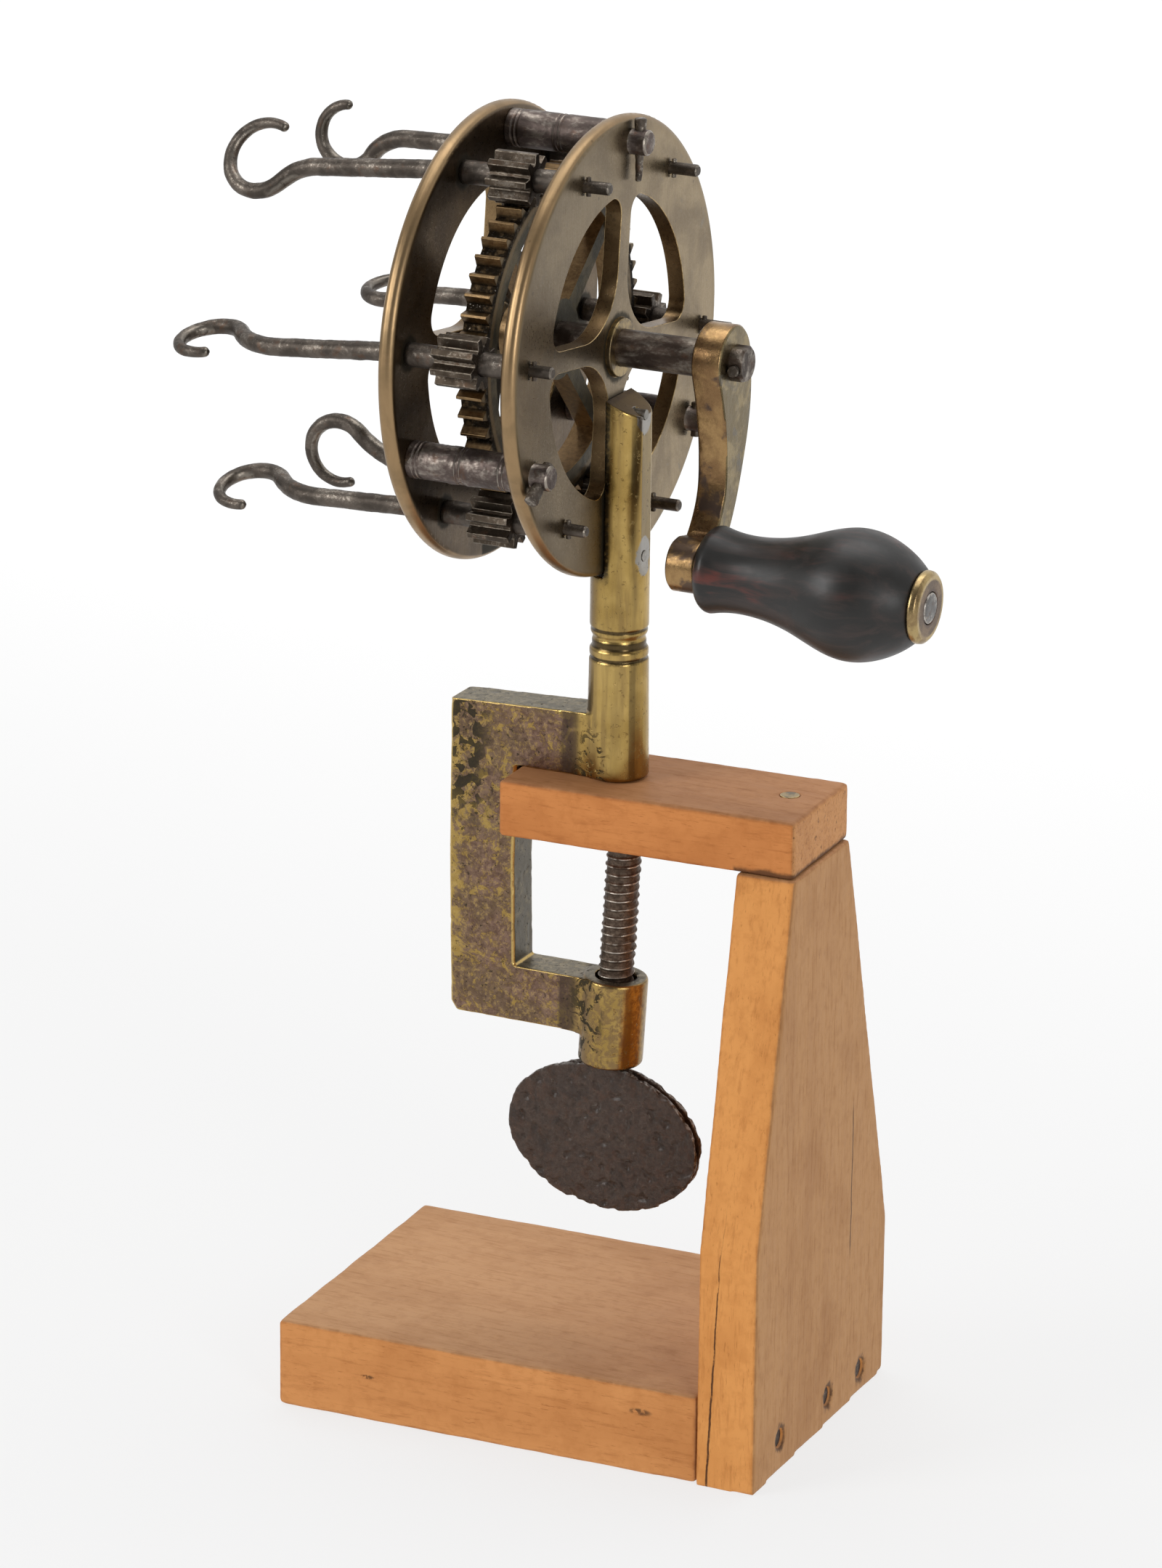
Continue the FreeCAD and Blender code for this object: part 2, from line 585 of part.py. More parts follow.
def arm_plan(radius, z_range):
    """Plan of an arm where it runs into a round: parallel sides, then a cove on each side."""
    reach = math.sqrt((radius + COVE_R) ** 2 - (CLAMP_HALF_T + COVE_R) ** 2)
    cove = (-reach, CLAMP_HALF_T + COVE_R)
    scale = radius / (radius + COVE_R)
    touch = (cove[0] * scale, cove[1] * scale)
    lean = math.atan2(cove[1] - touch[1], touch[0] - cove[0])
    half = (lean + math.pi / 2) / 2
    middle = (cove[0] + COVE_R * math.cos(half), cove[1] - COVE_R * math.sin(half))

    def place(point, mirror=1):
        return Vector(point[0], point[1] * mirror, z_range[0])

    left = CLAMP_OUTER_X - 5
    edges = [
        Part.LineSegment(place((left, CLAMP_HALF_T), -1), place((-reach, CLAMP_HALF_T), -1)),
        Part.Arc(place((-reach, CLAMP_HALF_T), -1), place(middle, -1), place(touch, -1)),
        Part.LineSegment(place(touch, -1), place(touch)),
        Part.Arc(place(touch), place(middle), place((-reach, CLAMP_HALF_T))),
        Part.LineSegment(place((-reach, CLAMP_HALF_T)), place((left, CLAMP_HALF_T))),
        Part.LineSegment(place((left, CLAMP_HALF_T)), place((left, CLAMP_HALF_T), -1)),
    ]
    face = Part.Face(Part.Wire([edge.toShape() for edge in edges]))
    return face.extrude(Z_DIR * (z_range[1] - z_range[0]))


def make_clamp():
    """One casting: post, upper arm, spine, lower arm and the bored boss for the screw."""
    split = (LOWER_ARM_Z[0] + UPPER_ARM_TOP[0]) / 2
    outline = [
        (CLAMP_OUTER_X, UPPER_ARM_TOP[0]), (-1, UPPER_ARM_TOP[1]), (-1, BOARD_TOP_Z),
        (CLAMP_INNER_X, BOARD_TOP_Z), (CLAMP_INNER_X - 0.5, split), (CLAMP_INNER_X, LOWER_ARM_Z[1]),
        (-1, LOWER_ARM_Z[1]), (-1, LOWER_ARM_Z[0] - 1.2), (-14, LOWER_ARM_Z[0]),
        (CLAMP_OUTER_X + 1.9, LOWER_ARM_Z[0]), (CLAMP_OUTER_X + 0.3, LOWER_ARM_Z[0] + 2.5),
        (CLAMP_OUTER_X - 0.4, split),
    ]
    bow = face_of([Vector(x, -20, z) for x, z in outline]).extrude(Y_DIR * 40)
    upper = bow.common(arm_plan(FOOT_R, (split, UPPER_ARM_TOP[1] + 5)))
    lower = bow.common(arm_plan(BOSS_R, (LOWER_ARM_Z[0] - 5, split)))
    frame = upper.fuse(lower).removeSplitter()
    frame = frame.makeChamfer(CLAMP_EDGE_R, outer_edges(frame))
    low, high = BOSS_Z
    barrel = Part.makeCylinder(BOSS_R, high - low, Vector(BOSS_X, 0, low))
    barrel = leaned(barrel.makeFillet(BOSS_EDGE_R, rims_of(barrel)))
    bore = leaned(Part.makeCylinder(BOSS_BORE_R, high - low + 20, Vector(BOSS_X, 0, low - 10)))
    casting = frame.fuse([barrel, post()]).cut(bore)
    rivets = []
    for z in POST_RIVET_Z:
        rivet = x_rod(POST_RIVET_R, (BACK_FACE_X - RIVET_PROUD, POST_FLAT_X + RIVET_PROUD), POST_RIVET_Y, z)
        casting = casting.cut(rivet)
        rivets.append(rivet)
    save("clamp_frame", casting.removeSplitter())
    save("post_rivets", *rivets)


def outer_edges(frame):
    """Edges of the bow's two flat sides along its spine, clear of the coves."""
    found = []
    for edge in frame.Edges:
        box = edge.BoundBox
        on_side = box.YLength < 0.01 and abs(abs(box.YMax) - CLAMP_HALF_T) < 0.01
        if on_side and box.XMax < CLAMP_INNER_X + 0.1:
            found.append(edge)
    return found


# ---------------------------------------------------------------- clamp screw
def make_clamp_screw():
    """Threaded spindle through the boss, with the two-leaved oval thumb plate below."""
    low = BOSS_Z[0] - SCREW_BELOW_BOSS
    high = BOARD_UNDER_Z + THREAD_PITCH
    core = SCREW_R - THREAD_DEPTH
    ramp = 0.32 * THREAD_PITCH
    crest = 0.24 * THREAD_PITCH
    profile = [(low, 0), (low, core)]
    for turn in range(int((high - low) / THREAD_PITCH) - 1):
        foot = low + ramp + turn * THREAD_PITCH
        rise, fall = foot + ramp, foot + ramp + crest
        profile += [(foot, core), (rise, SCREW_R), (fall, SCREW_R), (fall + ramp, core)]
    profile += [(high, core), (high, 0)]
    spindle = leaned(turned(profile, Vector(BOSS_X, 0, 0), Z_DIR, X_DIR))
    above = block((-20, 20), (-20, 20), (BOARD_UNDER_Z - SCREW_TIP_GAP, BOARD_UNDER_Z + 20))
    save("clamp_spindle", spindle.cut(above))
    middle = Vector(BOSS_X, 0, THUMB_Z)

    def oval(grow, y_low, thickness):
        ring = Part.Ellipse(middle + Vector(0, y_low, 0), THUMB_HALF_W + grow, THUMB_HALF_H + grow)
        edge = ring.toShape()
        edge.rotate(middle + Vector(0, y_low, 0), X_DIR, 90)
        return Part.Face(Part.Wire(edge)).extrude(Y_DIR * thickness)

    def seated(shape):
        return leaned(shape.rotated(middle, Z_DIR, THUMB_TURN))

    front = oval(0, -CORE_T / 2 - LEAF_T, LEAF_T)
    back = oval(-0.4, CORE_T / 2, LEAF_T)
    save("thumb_leaf_front", seated(front.makeFillet(LEAF_EDGE_R, rims_of(front))))
    save("thumb_leaf_back", seated(back.makeFillet(LEAF_EDGE_R, rims_of(back))))
    save("thumb_core", seated(oval(-1.6, -CORE_T / 2, CORE_T)))


# ---------------------------------------------------------------- wooden stand
def screw_head(top, direction):
    """Countersunk head whose flat face is at top."""
    bottom = top - direction * SCREW_HEAD_T
    return Part.makeCone(SCREW_SHANK_R, SCREW_HEAD_R, SCREW_HEAD_T, bottom, direction)


def make_stand():
    """Base, tapered upright and cantilever board, with their screws."""
    near, far = UPRIGHT_FOOT_Y
    near_square, far_square = UPRIGHT_SQUARE_Z
    outline = [
        (near, 0), (far, 0), (far, far_square), (UPRIGHT_TOP_Y[1], BOARD_UNDER_Z),
        (UPRIGHT_TOP_Y[0], BOARD_UNDER_Z), (near, near_square),
    ]
    upright = yz_prism(outline, UPRIGHT_X)
    upright = upright.makeFillet(WOOD_EDGE_R, [edge for edge in upright.Edges if edge.BoundBox.ZMax > 1])
    base = block(BASE_X, BASE_Y, (0, BASE_T), WOOD_EDGE_R)
    board = block(BOARD_X, UPRIGHT_TOP_Y, (BOARD_UNDER_Z, BOARD_TOP_Z), WOOD_EDGE_R)
    screws = []
    for y, z in BASE_SCREWS:
        head_x = UPRIGHT_X[1] - SCREW_SUNK
        shank = x_rod(SCREW_SHANK_R, (head_x - SCREW_LENGTH, head_x), y, z)
        screw = shank.fuse(screw_head(Vector(head_x, y, z), X_DIR))
        well = x_rod(SCREW_HEAD_R, (head_x, UPRIGHT_X[1] + 1), y, z)
        upright = upright.cut([screw, well])
        base = base.cut(screw)
        screws.append(on_stand(screw))
    x, y = BOARD_SCREW
    shank = Part.makeCylinder(SCREW_SHANK_R, SCREW_LENGTH, Vector(x, y, BOARD_TOP_Z - SCREW_LENGTH))
    board_screw = shank.fuse(screw_head(Vector(x, y, BOARD_TOP_Z), Z_DIR))
    save("stand_base", on_stand(base))
    save("stand_upright", on_stand(upright.cut(board_screw)))
    save("stand_board", on_stand(board.cut(board_screw)))
    save("base_screws", *screws)
    save("board_screw", on_stand(board_screw))


make_stand()
make_clamp()
make_clamp_screw()
make_head()
make_shaft(make_gear())
make_arm()
make_handle()
for number, one in enumerate(HOOKS, start=1):
    make_spindle(number, one)
    make_pinion(number, one)
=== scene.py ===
import json
import math
from collections import namedtuple

import bmesh
import bpy
from mathutils import Matrix, Vector, noise


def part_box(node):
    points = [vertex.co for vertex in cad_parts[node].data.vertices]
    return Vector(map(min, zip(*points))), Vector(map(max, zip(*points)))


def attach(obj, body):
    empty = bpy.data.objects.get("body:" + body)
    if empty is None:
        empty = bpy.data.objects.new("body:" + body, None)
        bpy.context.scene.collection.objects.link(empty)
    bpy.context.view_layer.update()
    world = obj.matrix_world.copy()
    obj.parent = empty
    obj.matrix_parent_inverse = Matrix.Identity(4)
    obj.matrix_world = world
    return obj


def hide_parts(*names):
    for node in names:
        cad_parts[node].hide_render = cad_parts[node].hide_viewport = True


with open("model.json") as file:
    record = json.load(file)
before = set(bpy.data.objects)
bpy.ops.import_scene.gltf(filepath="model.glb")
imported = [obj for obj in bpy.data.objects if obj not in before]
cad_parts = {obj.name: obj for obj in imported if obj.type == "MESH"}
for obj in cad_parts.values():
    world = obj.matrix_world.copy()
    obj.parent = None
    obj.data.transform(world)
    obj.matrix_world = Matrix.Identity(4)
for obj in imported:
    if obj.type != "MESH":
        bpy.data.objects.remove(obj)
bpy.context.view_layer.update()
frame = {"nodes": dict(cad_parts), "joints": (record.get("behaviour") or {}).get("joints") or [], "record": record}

# Looks of the six-hook cord twister: worn brass, dark forged steel, ebony grip and a wooden stand.
# Lengths are in metres unless a name ends in _MM; +X runs along the crank shaft, +Z is up.

MM = 0.001
NODES = frame["nodes"]
JOINTS = {joint["name"]: joint for joint in frame["joints"]}
BODY_OF = {
    node: body for body, members in frame["record"]["behaviour"]["bodies"].items() for node in members
}
SHAFT_Z = JOINTS["crank_turn"]["pos_m"][2]
PLATE_FRONT_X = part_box("front_plate")[1].x
PLATE_REAR_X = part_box("rear_plate")[0].x
BOW_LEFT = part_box("clamp_frame")[0].x
POST_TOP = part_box("clamp_frame")[1].z
POST_LEFT = -9 * MM
POST_RIVETS = [(-1.0 * MM, 251.5 * MM), (-1.0 * MM, 291.0 * MM)]
POST_GROOVES = [(222.3 * MM, 0.45 * MM), (226.2 * MM, 0.95 * MM), (230.5 * MM, 0.40 * MM)]
CLAMP_TOP = 213 * MM


# ---------------------------------------------------------------- mesh helpers
def piece(name, mesh, node, *more):
    """New object that stands for CAD nodes and rides on their body."""
    obj = bpy.data.objects.new(name, mesh)
    bpy.context.scene.collection.objects.link(obj)
    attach(obj, BODY_OF[node])
    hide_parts(node, *more)
    return obj


def paint(obj, *materials):
    obj.data.materials.clear()
    for material in materials:
        obj.data.materials.append(material)
    return obj


def finished_mesh(name, bm):
    mesh = bpy.data.meshes.new(name)
    bmesh.ops.recalc_face_normals(bm, faces=bm.faces)
    bm.to_mesh(mesh)
    bm.free()
    mesh.shade_smooth()
    return mesh


def crisp(node, bevel, angle=30, segments=2, reshape=None):
    """Copy of a CAD node whose sharp edges are broken by a small bevel."""
    bm = bmesh.new()
    bm.from_mesh(NODES[node].data)
    bmesh.ops.remove_doubles(bm, verts=bm.verts, dist=2e-6)
    if reshape:
        reshape(bm)
    flat = math.radians(0.4)
    bmesh.ops.dissolve_limit(bm, angle_limit=flat, verts=bm.verts, edges=bm.edges)
    obj = piece(node + "_worn", finished_mesh(node, bm), node)
    edge = obj.modifiers.new("edge", "BEVEL")
    edge.width = bevel
    edge.segments = segments
    edge.limit_method = "ANGLE"
    edge.angle_limit = math.radians(angle)
    edge.use_clamp_overlap = True
    edge.material = 1
    obj.modifiers.new("normals", "WEIGHTED_NORMAL").weight = 60
    return obj


def remeshed(node, voxel, rounds=2):
    """Even mesh with softened edges, made from a CAD node."""
    bm = bmesh.new()
    bm.from_mesh(NODES[node].data)
    bmesh.ops.remove_doubles(bm, verts=bm.verts, dist=2e-6)
    rough = bpy.data.objects.new("rough", finished_mesh("rough", bm))
    bpy.context.scene.collection.objects.link(rough)
    grid = rough.modifiers.new("grid", "REMESH")
    grid.mode = "VOXEL"
    grid.voxel_size = voxel
    if rounds:
        soft = rough.modifiers.new("soft", "SMOOTH")
        soft.factor = 0.5
        soft.iterations = rounds
    graph = bpy.context.evaluated_depsgraph_get()
    mesh = bpy.data.meshes.new_from_object(rough.evaluated_get(graph))
    bpy.data.objects.remove(rough)
    mesh.shade_smooth()
    return mesh


def sculpt(mesh, push):
    """Moves every vertex along its normal by push(position, normal)."""
    moved = []
    for vertex in mesh.vertices:
        moved.append(vertex.co + vertex.normal * push(vertex.co, vertex.normal))
    for vertex, place in zip(mesh.vertices, moved):
        vertex.co = place
    mesh.update()
    return mesh


def bumps(point, size, seed=0.0):
    """Smooth noise from about -1 to 1, with bumps of the given size."""
    return noise.noise(point / size + Vector((seed, seed * 1.7, -seed)))


def pits(point, size, depth, share, seed=0.0):
    """Depth of scattered pits that cover about a share of the surface."""
    value = bumps(point, size, seed)
    edge = 1 - 2 * share
    return depth * max(0.0, value - edge * 0.55)


def tube(name, points, radii, sides=20):
    """Closed round skin along points, with one radius for each; the frame never twists."""
    bm = bmesh.new()
    side = None
    rings = []
    last = len(points) - 1
    for index, (point, radius) in enumerate(zip(points, radii)):
        ahead = points[min(index + 1, last)] - points[max(index - 1, 0)]
        if ahead.length < 1e-9:
            ahead = points[last] - points[0]
        ahead.normalize()
        if side is None:
            side = ahead.orthogonal().normalized()
        side = (side - ahead * side.dot(ahead)).normalized()
        up = ahead.cross(side)
        ring = []
        for step in range(sides):
            turn = math.tau * step / sides
            way = side * math.cos(turn) + up * math.sin(turn)
            ring.append(bm.verts.new(point + way * (radius(way) if callable(radius) else radius)))
        rings.append(ring)
    for one, two in zip(rings, rings[1:]):
        for step in range(sides):
            other = (step + 1) % sides
            bm.faces.new((one[step], one[other], two[other], two[step]))
    for ring, centre in ((rings[0], points[0]), (rings[-1], points[-1])):
        hub = bm.verts.new(centre)
        for step in range(sides):
            bm.faces.new((ring[step], ring[(step + 1) % sides], hub))
    return finished_mesh(name, bm)


# ---------------------------------------------------------------- material helpers
class Look:
    """One procedural material, built from small steps. Positions are object coordinates."""

    def __init__(self, name, metallic=0.0):
        self.material = bpy.data.materials.new(name)
        self.material.use_nodes = True
        self.tree = self.material.node_tree
        self.shader = self.tree.nodes["Principled BSDF"]
        self.shader.inputs["Metallic"].default_value = metallic
        self.place = self.node("ShaderNodeTexCoord")

    def node(self, kind, **settings):
        made = self.tree.nodes.new(kind)
        for key, value in settings.items():
            setattr(made, key, value)
        return made

    def feed(self, socket, value):
        if isinstance(value, bpy.types.NodeSocket):
            self.tree.links.new(value, socket)
        elif isinstance(value, (tuple, list)) and len(value) == 3 and socket.type == "RGBA":
            socket.default_value = (*value, 1)
        else:
            socket.default_value = value

    def math(self, operation, one, two=0.0):
        made = self.node("ShaderNodeMath", operation=operation)
        self.feed(made.inputs[0], one)
        self.feed(made.inputs[1], two)
        return made.outputs[0]

    def axes(self, output="Object"):
        """The x, y and z of the position or of the normal."""
        split = self.node("ShaderNodeSeparateXYZ")
        self.feed(split.inputs[0], self.place.outputs[output])
        return split.outputs[0], split.outputs[1], split.outputs[2]

    def stretched(self, scale, turn=(0, 0, 0), offset=(0, 0, 0)):
        """Object coordinates scaled per axis, for streaks and grain."""
        made = self.node("ShaderNodeMapping")
        self.feed(made.inputs["Vector"], self.place.outputs["Object"])
        made.inputs["Scale"].default_value = scale
        made.inputs["Rotation"].default_value = turn
        made.inputs["Location"].default_value = offset
        return made.outputs[0]

    def noise(self, size, detail=4.0, rough=0.55, warp=0.0, vector=None):
        """Noise value whose features are about size metres across."""
        made = self.node("ShaderNodeTexNoise")
        self.feed(made.inputs["Vector"], self.place.outputs["Object"] if vector is None else vector)
        made.inputs["Scale"].default_value = 1 / size
        made.inputs["Detail"].default_value = detail
        made.inputs["Roughness"].default_value = rough
        made.inputs["Distortion"].default_value = warp
        return made.outputs["Fac"]

    def warped(self, size, amount):
        """Object coordinates pushed about by noise, for ragged outlines."""
        made = self.node("ShaderNodeTexNoise")
        self.feed(made.inputs["Vector"], self.place.outputs["Object"])
        made.inputs["Scale"].default_value = 1 / size
        made.inputs["Detail"].default_value = 3
        push = self.node("ShaderNodeVectorMath", operation="MULTIPLY_ADD")
        self.feed(push.inputs[0], made.outputs["Color"])
        push.inputs[1].default_value = (amount, amount, amount)
        self.feed(push.inputs[2], self.place.outputs["Object"])
        return push.outputs[0]

    def cells(self, size, output="Distance", vector=None):
        """Voronoi cells; distances come out in cell widths."""
        made = self.node("ShaderNodeTexVoronoi")
        self.feed(made.inputs["Vector"], self.place.outputs["Object"] if vector is None else vector)
        made.inputs["Scale"].default_value = 1 / size
        return made.outputs[output]

    def chosen_cells(self, size, share, vector=None):
        """1 inside about a share of the cells, 0 in the others."""
        split = self.node("ShaderNodeSeparateColor")
        self.feed(split.inputs[0], self.cells(size, output="Color", vector=vector))
        return self.between(split.outputs[0], share + 0.01, share - 0.01)

    def plus(self, one, two):
        return self.math("ADD", one, two)

    def minus(self, one, two):
        return self.math("SUBTRACT", one, two)

    def magnitude(self, value):
        return self.math("ABSOLUTE", value)

    def squares(self, one, two):
        """Sum of two squares, for round marks."""
        return self.plus(self.product(one, one), self.product(two, two))

    def wobble(self, size, amount, detail, rough=0.55):
        """Noise centred on zero, for ragged borders."""
        return self.product(self.minus(self.noise(size, detail, rough), 0.5), amount)

    def product(self, *values):
        result = values[0]
        for value in values[1:]:
            result = self.math("MULTIPLY", result, value)
        return result

    def largest(self, *values):
        result = values[0]
        for value in values[1:]:
            result = self.math("MAXIMUM", result, value)
        return result

    def rounded_edge(self, start=0.97, full=0.86):
        """Edges of a box-like piece whose mesh is softened there: the normal leaves the axes."""
        sides = [self.math("ABSOLUTE", part) for part in self.axes("Normal")]
        return self.between(self.largest(*sides), start, full)

    def between(self, value, low, high):
        """0 below low, 1 above high, smooth in between; low may be the larger one."""
        made = self.node("ShaderNodeMapRange", interpolation_type="SMOOTHSTEP")
        self.feed(made.inputs["Value"], value)
        self.feed(made.inputs["From Min"], low)
        self.feed(made.inputs["From Max"], high)
        return made.outputs[0]

    def mix(self, share, one, two, blend="MIX"):
        made = self.node("ShaderNodeMix", data_type="RGBA", blend_type=blend)
        self.feed(made.inputs["Factor"], share)
        self.feed(made.inputs[6], one)
        self.feed(made.inputs[7], two)
        return made.outputs[2]

    def blend_values(self, share, one, two):
        made = self.node("ShaderNodeMix", data_type="FLOAT")
        self.feed(made.inputs[0], share)
        self.feed(made.inputs[2], one)
        self.feed(made.inputs[3], two)
        return made.outputs[0]

    def shade(self, value, low, high, one, two):
        """Colour one where value is below low, two where it is above high."""
        return self.mix(self.between(value, low, high), one, two)

    def ramp(self, value, low, high, one, two):
        return self.blend_values(self.between(value, low, high), one, two)

    def radius_from_shaft(self):
        """Distance from the crank shaft's axis."""
        _, y, z = self.axes()
        up = self.math("SUBTRACT", z, SHAFT_Z)
        return self.math("SQRT", self.squares(y, up))

    def pointed(self, low, high):
        """Convex edges of a finely meshed piece."""
        shape = self.node("ShaderNodeNewGeometry")
        return self.between(shape.outputs["Pointiness"], low, high)

    def bump(self, height, strength, distance):
        made = self.node("ShaderNodeBump")
        self.feed(made.inputs["Strength"], strength)
        made.inputs["Distance"].default_value = distance
        self.feed(made.inputs["Height"], height)
        if self.shader.inputs["Normal"].links:
            self.feed(made.inputs["Normal"], self.shader.inputs["Normal"].links[0].from_socket)
        self.feed(self.shader.inputs["Normal"], made.outputs[0])

    def colour(self, value):
        self.feed(self.shader.inputs["Base Color"], value)

    def roughness(self, value):
        self.feed(self.shader.inputs["Roughness"], value)


def plate_brass():
    """Old lacquered brass: brown-grey satin faces, smooth rounded rims, dark window walls."""
    look = Look("plate_brass", metallic=1.0)
    x, y, z = look.axes()
    nx, _, _ = look.axes("Normal")
    radius = look.radius_from_shaft()
    face = look.between(look.magnitude(nx), 0.80, 0.97)
    toward_crank = look.between(nx, 0.5, 0.9)
    rim = look.between(radius, 58.5 * MM, 60.0 * MM)
    rear = look.between(x, -20 * MM, -25 * MM)
    cloud = look.noise(16 * MM, 5, 0.6, 0.6)
    blotch = look.noise(6 * MM, 6, 0.65, 0.4)
    fine = look.noise(0.7 * MM, 3, 0.7)
    brown = look.shade(cloud, 0.35, 0.66, (0.185, 0.136, 0.078), (0.290, 0.220, 0.130))
    brown = look.shade(blotch, 0.60, 0.74, brown, (0.200, 0.165, 0.118))
    # painted shade: the faces darken towards the near side
    near_side = look.product(look.between(y, 30 * MM, -25 * MM), 0.55)
    brown = look.mix(near_side, brown, (0.098, 0.074, 0.044))
    # painted shade: the front plate's back face and the whole rear plate take a darker brown, for the shade
    # between the plates
    inner = look.shade(cloud, 0.3, 0.7, (0.070, 0.046, 0.025), (0.135, 0.092, 0.050))
    faces = look.mix(look.product(toward_crank, look.minus(1.0, rear)), inner, brown)
    copper = look.shade(cloud, 0.38, 0.62, (0.330, 0.220, 0.115), (0.250, 0.170, 0.090))
    walls = look.shade(cloud, 0.35, 0.65, (0.150, 0.095, 0.045), (0.25, 0.165, 0.082))
    sides = look.mix(rim, walls, copper)
    colour = look.mix(face, sides, faces)
    spots = look.between(look.cells(7.5 * MM), 0.10, 0.04)
    colour = look.mix(look.product(spots, 0.35), colour, (0.035, 0.028, 0.022))
    # grease round the spindles on the rear plate, round the bush and where the post is brazed on
    ragged = look.wobble(1.6 * MM, 1.6 * MM, 4)
    rings = []
    for number in range(1, 7):
        _, spindle_y, spindle_z = JOINTS["hook_%d_spin" % number]["pos_m"]
        across = look.minus(y, spindle_y)
        rise = look.minus(z, spindle_z)
        rings.append(look.math("SQRT", look.squares(across, rise)))
    nearest = rings[0]
    for ring in rings[1:]:
        nearest = look.math("MINIMUM", nearest, ring)
    grease = look.between(look.plus(nearest, ragged), 5.6 * MM, 3.9 * MM)
    grease = look.product(grease, rear)
    hub = look.between(look.plus(radius, ragged), 10.2 * MM, 8.8 * MM)
    beside_post = look.between(look.plus(look.magnitude(y), ragged), 9.7 * MM, 8.7 * MM)
    beside_post = look.product(beside_post, look.between(z, POST_TOP + 1.5 * MM, POST_TOP - 0.5 * MM))
    dirt = look.product(look.largest(grease, hub, beside_post), face)
    colour = look.mix(look.product(dirt, 0.8), colour, (0.032, 0.030, 0.022))
    look.colour(colour)
    rough = look.ramp(fine, 0.3, 0.7, 0.26, 0.40)
    rough = look.blend_values(rim, rough, look.ramp(cloud, 0.3, 0.7, 0.34, 0.40))
    look.roughness(look.blend_values(dirt, rough, 0.6))
    strokes = look.noise(0.5 * MM, 3, 0.6, 0.0, look.stretched((1, 1, 0.06), (0.12, 0, 0)))
    look.bump(strokes, look.product(face, 0.25), 0.00012)
    look.bump(look.noise(3.5 * MM, 3, 0.5), look.product(face, 0.15), 0.0004)
    return look.material


def plate_edge():
    """Bright line that wear leaves along the edges of the brass plates."""
    look = Look("plate_edge", metallic=1.0)
    wear = look.noise(0.002, 4, 0.6)
    look.colour(look.shade(wear, 0.35, 0.6, (0.22, 0.15, 0.07), (0.46, 0.33, 0.16)))
    look.roughness(look.blend_values(wear, 0.22, 0.38))
    return look.material


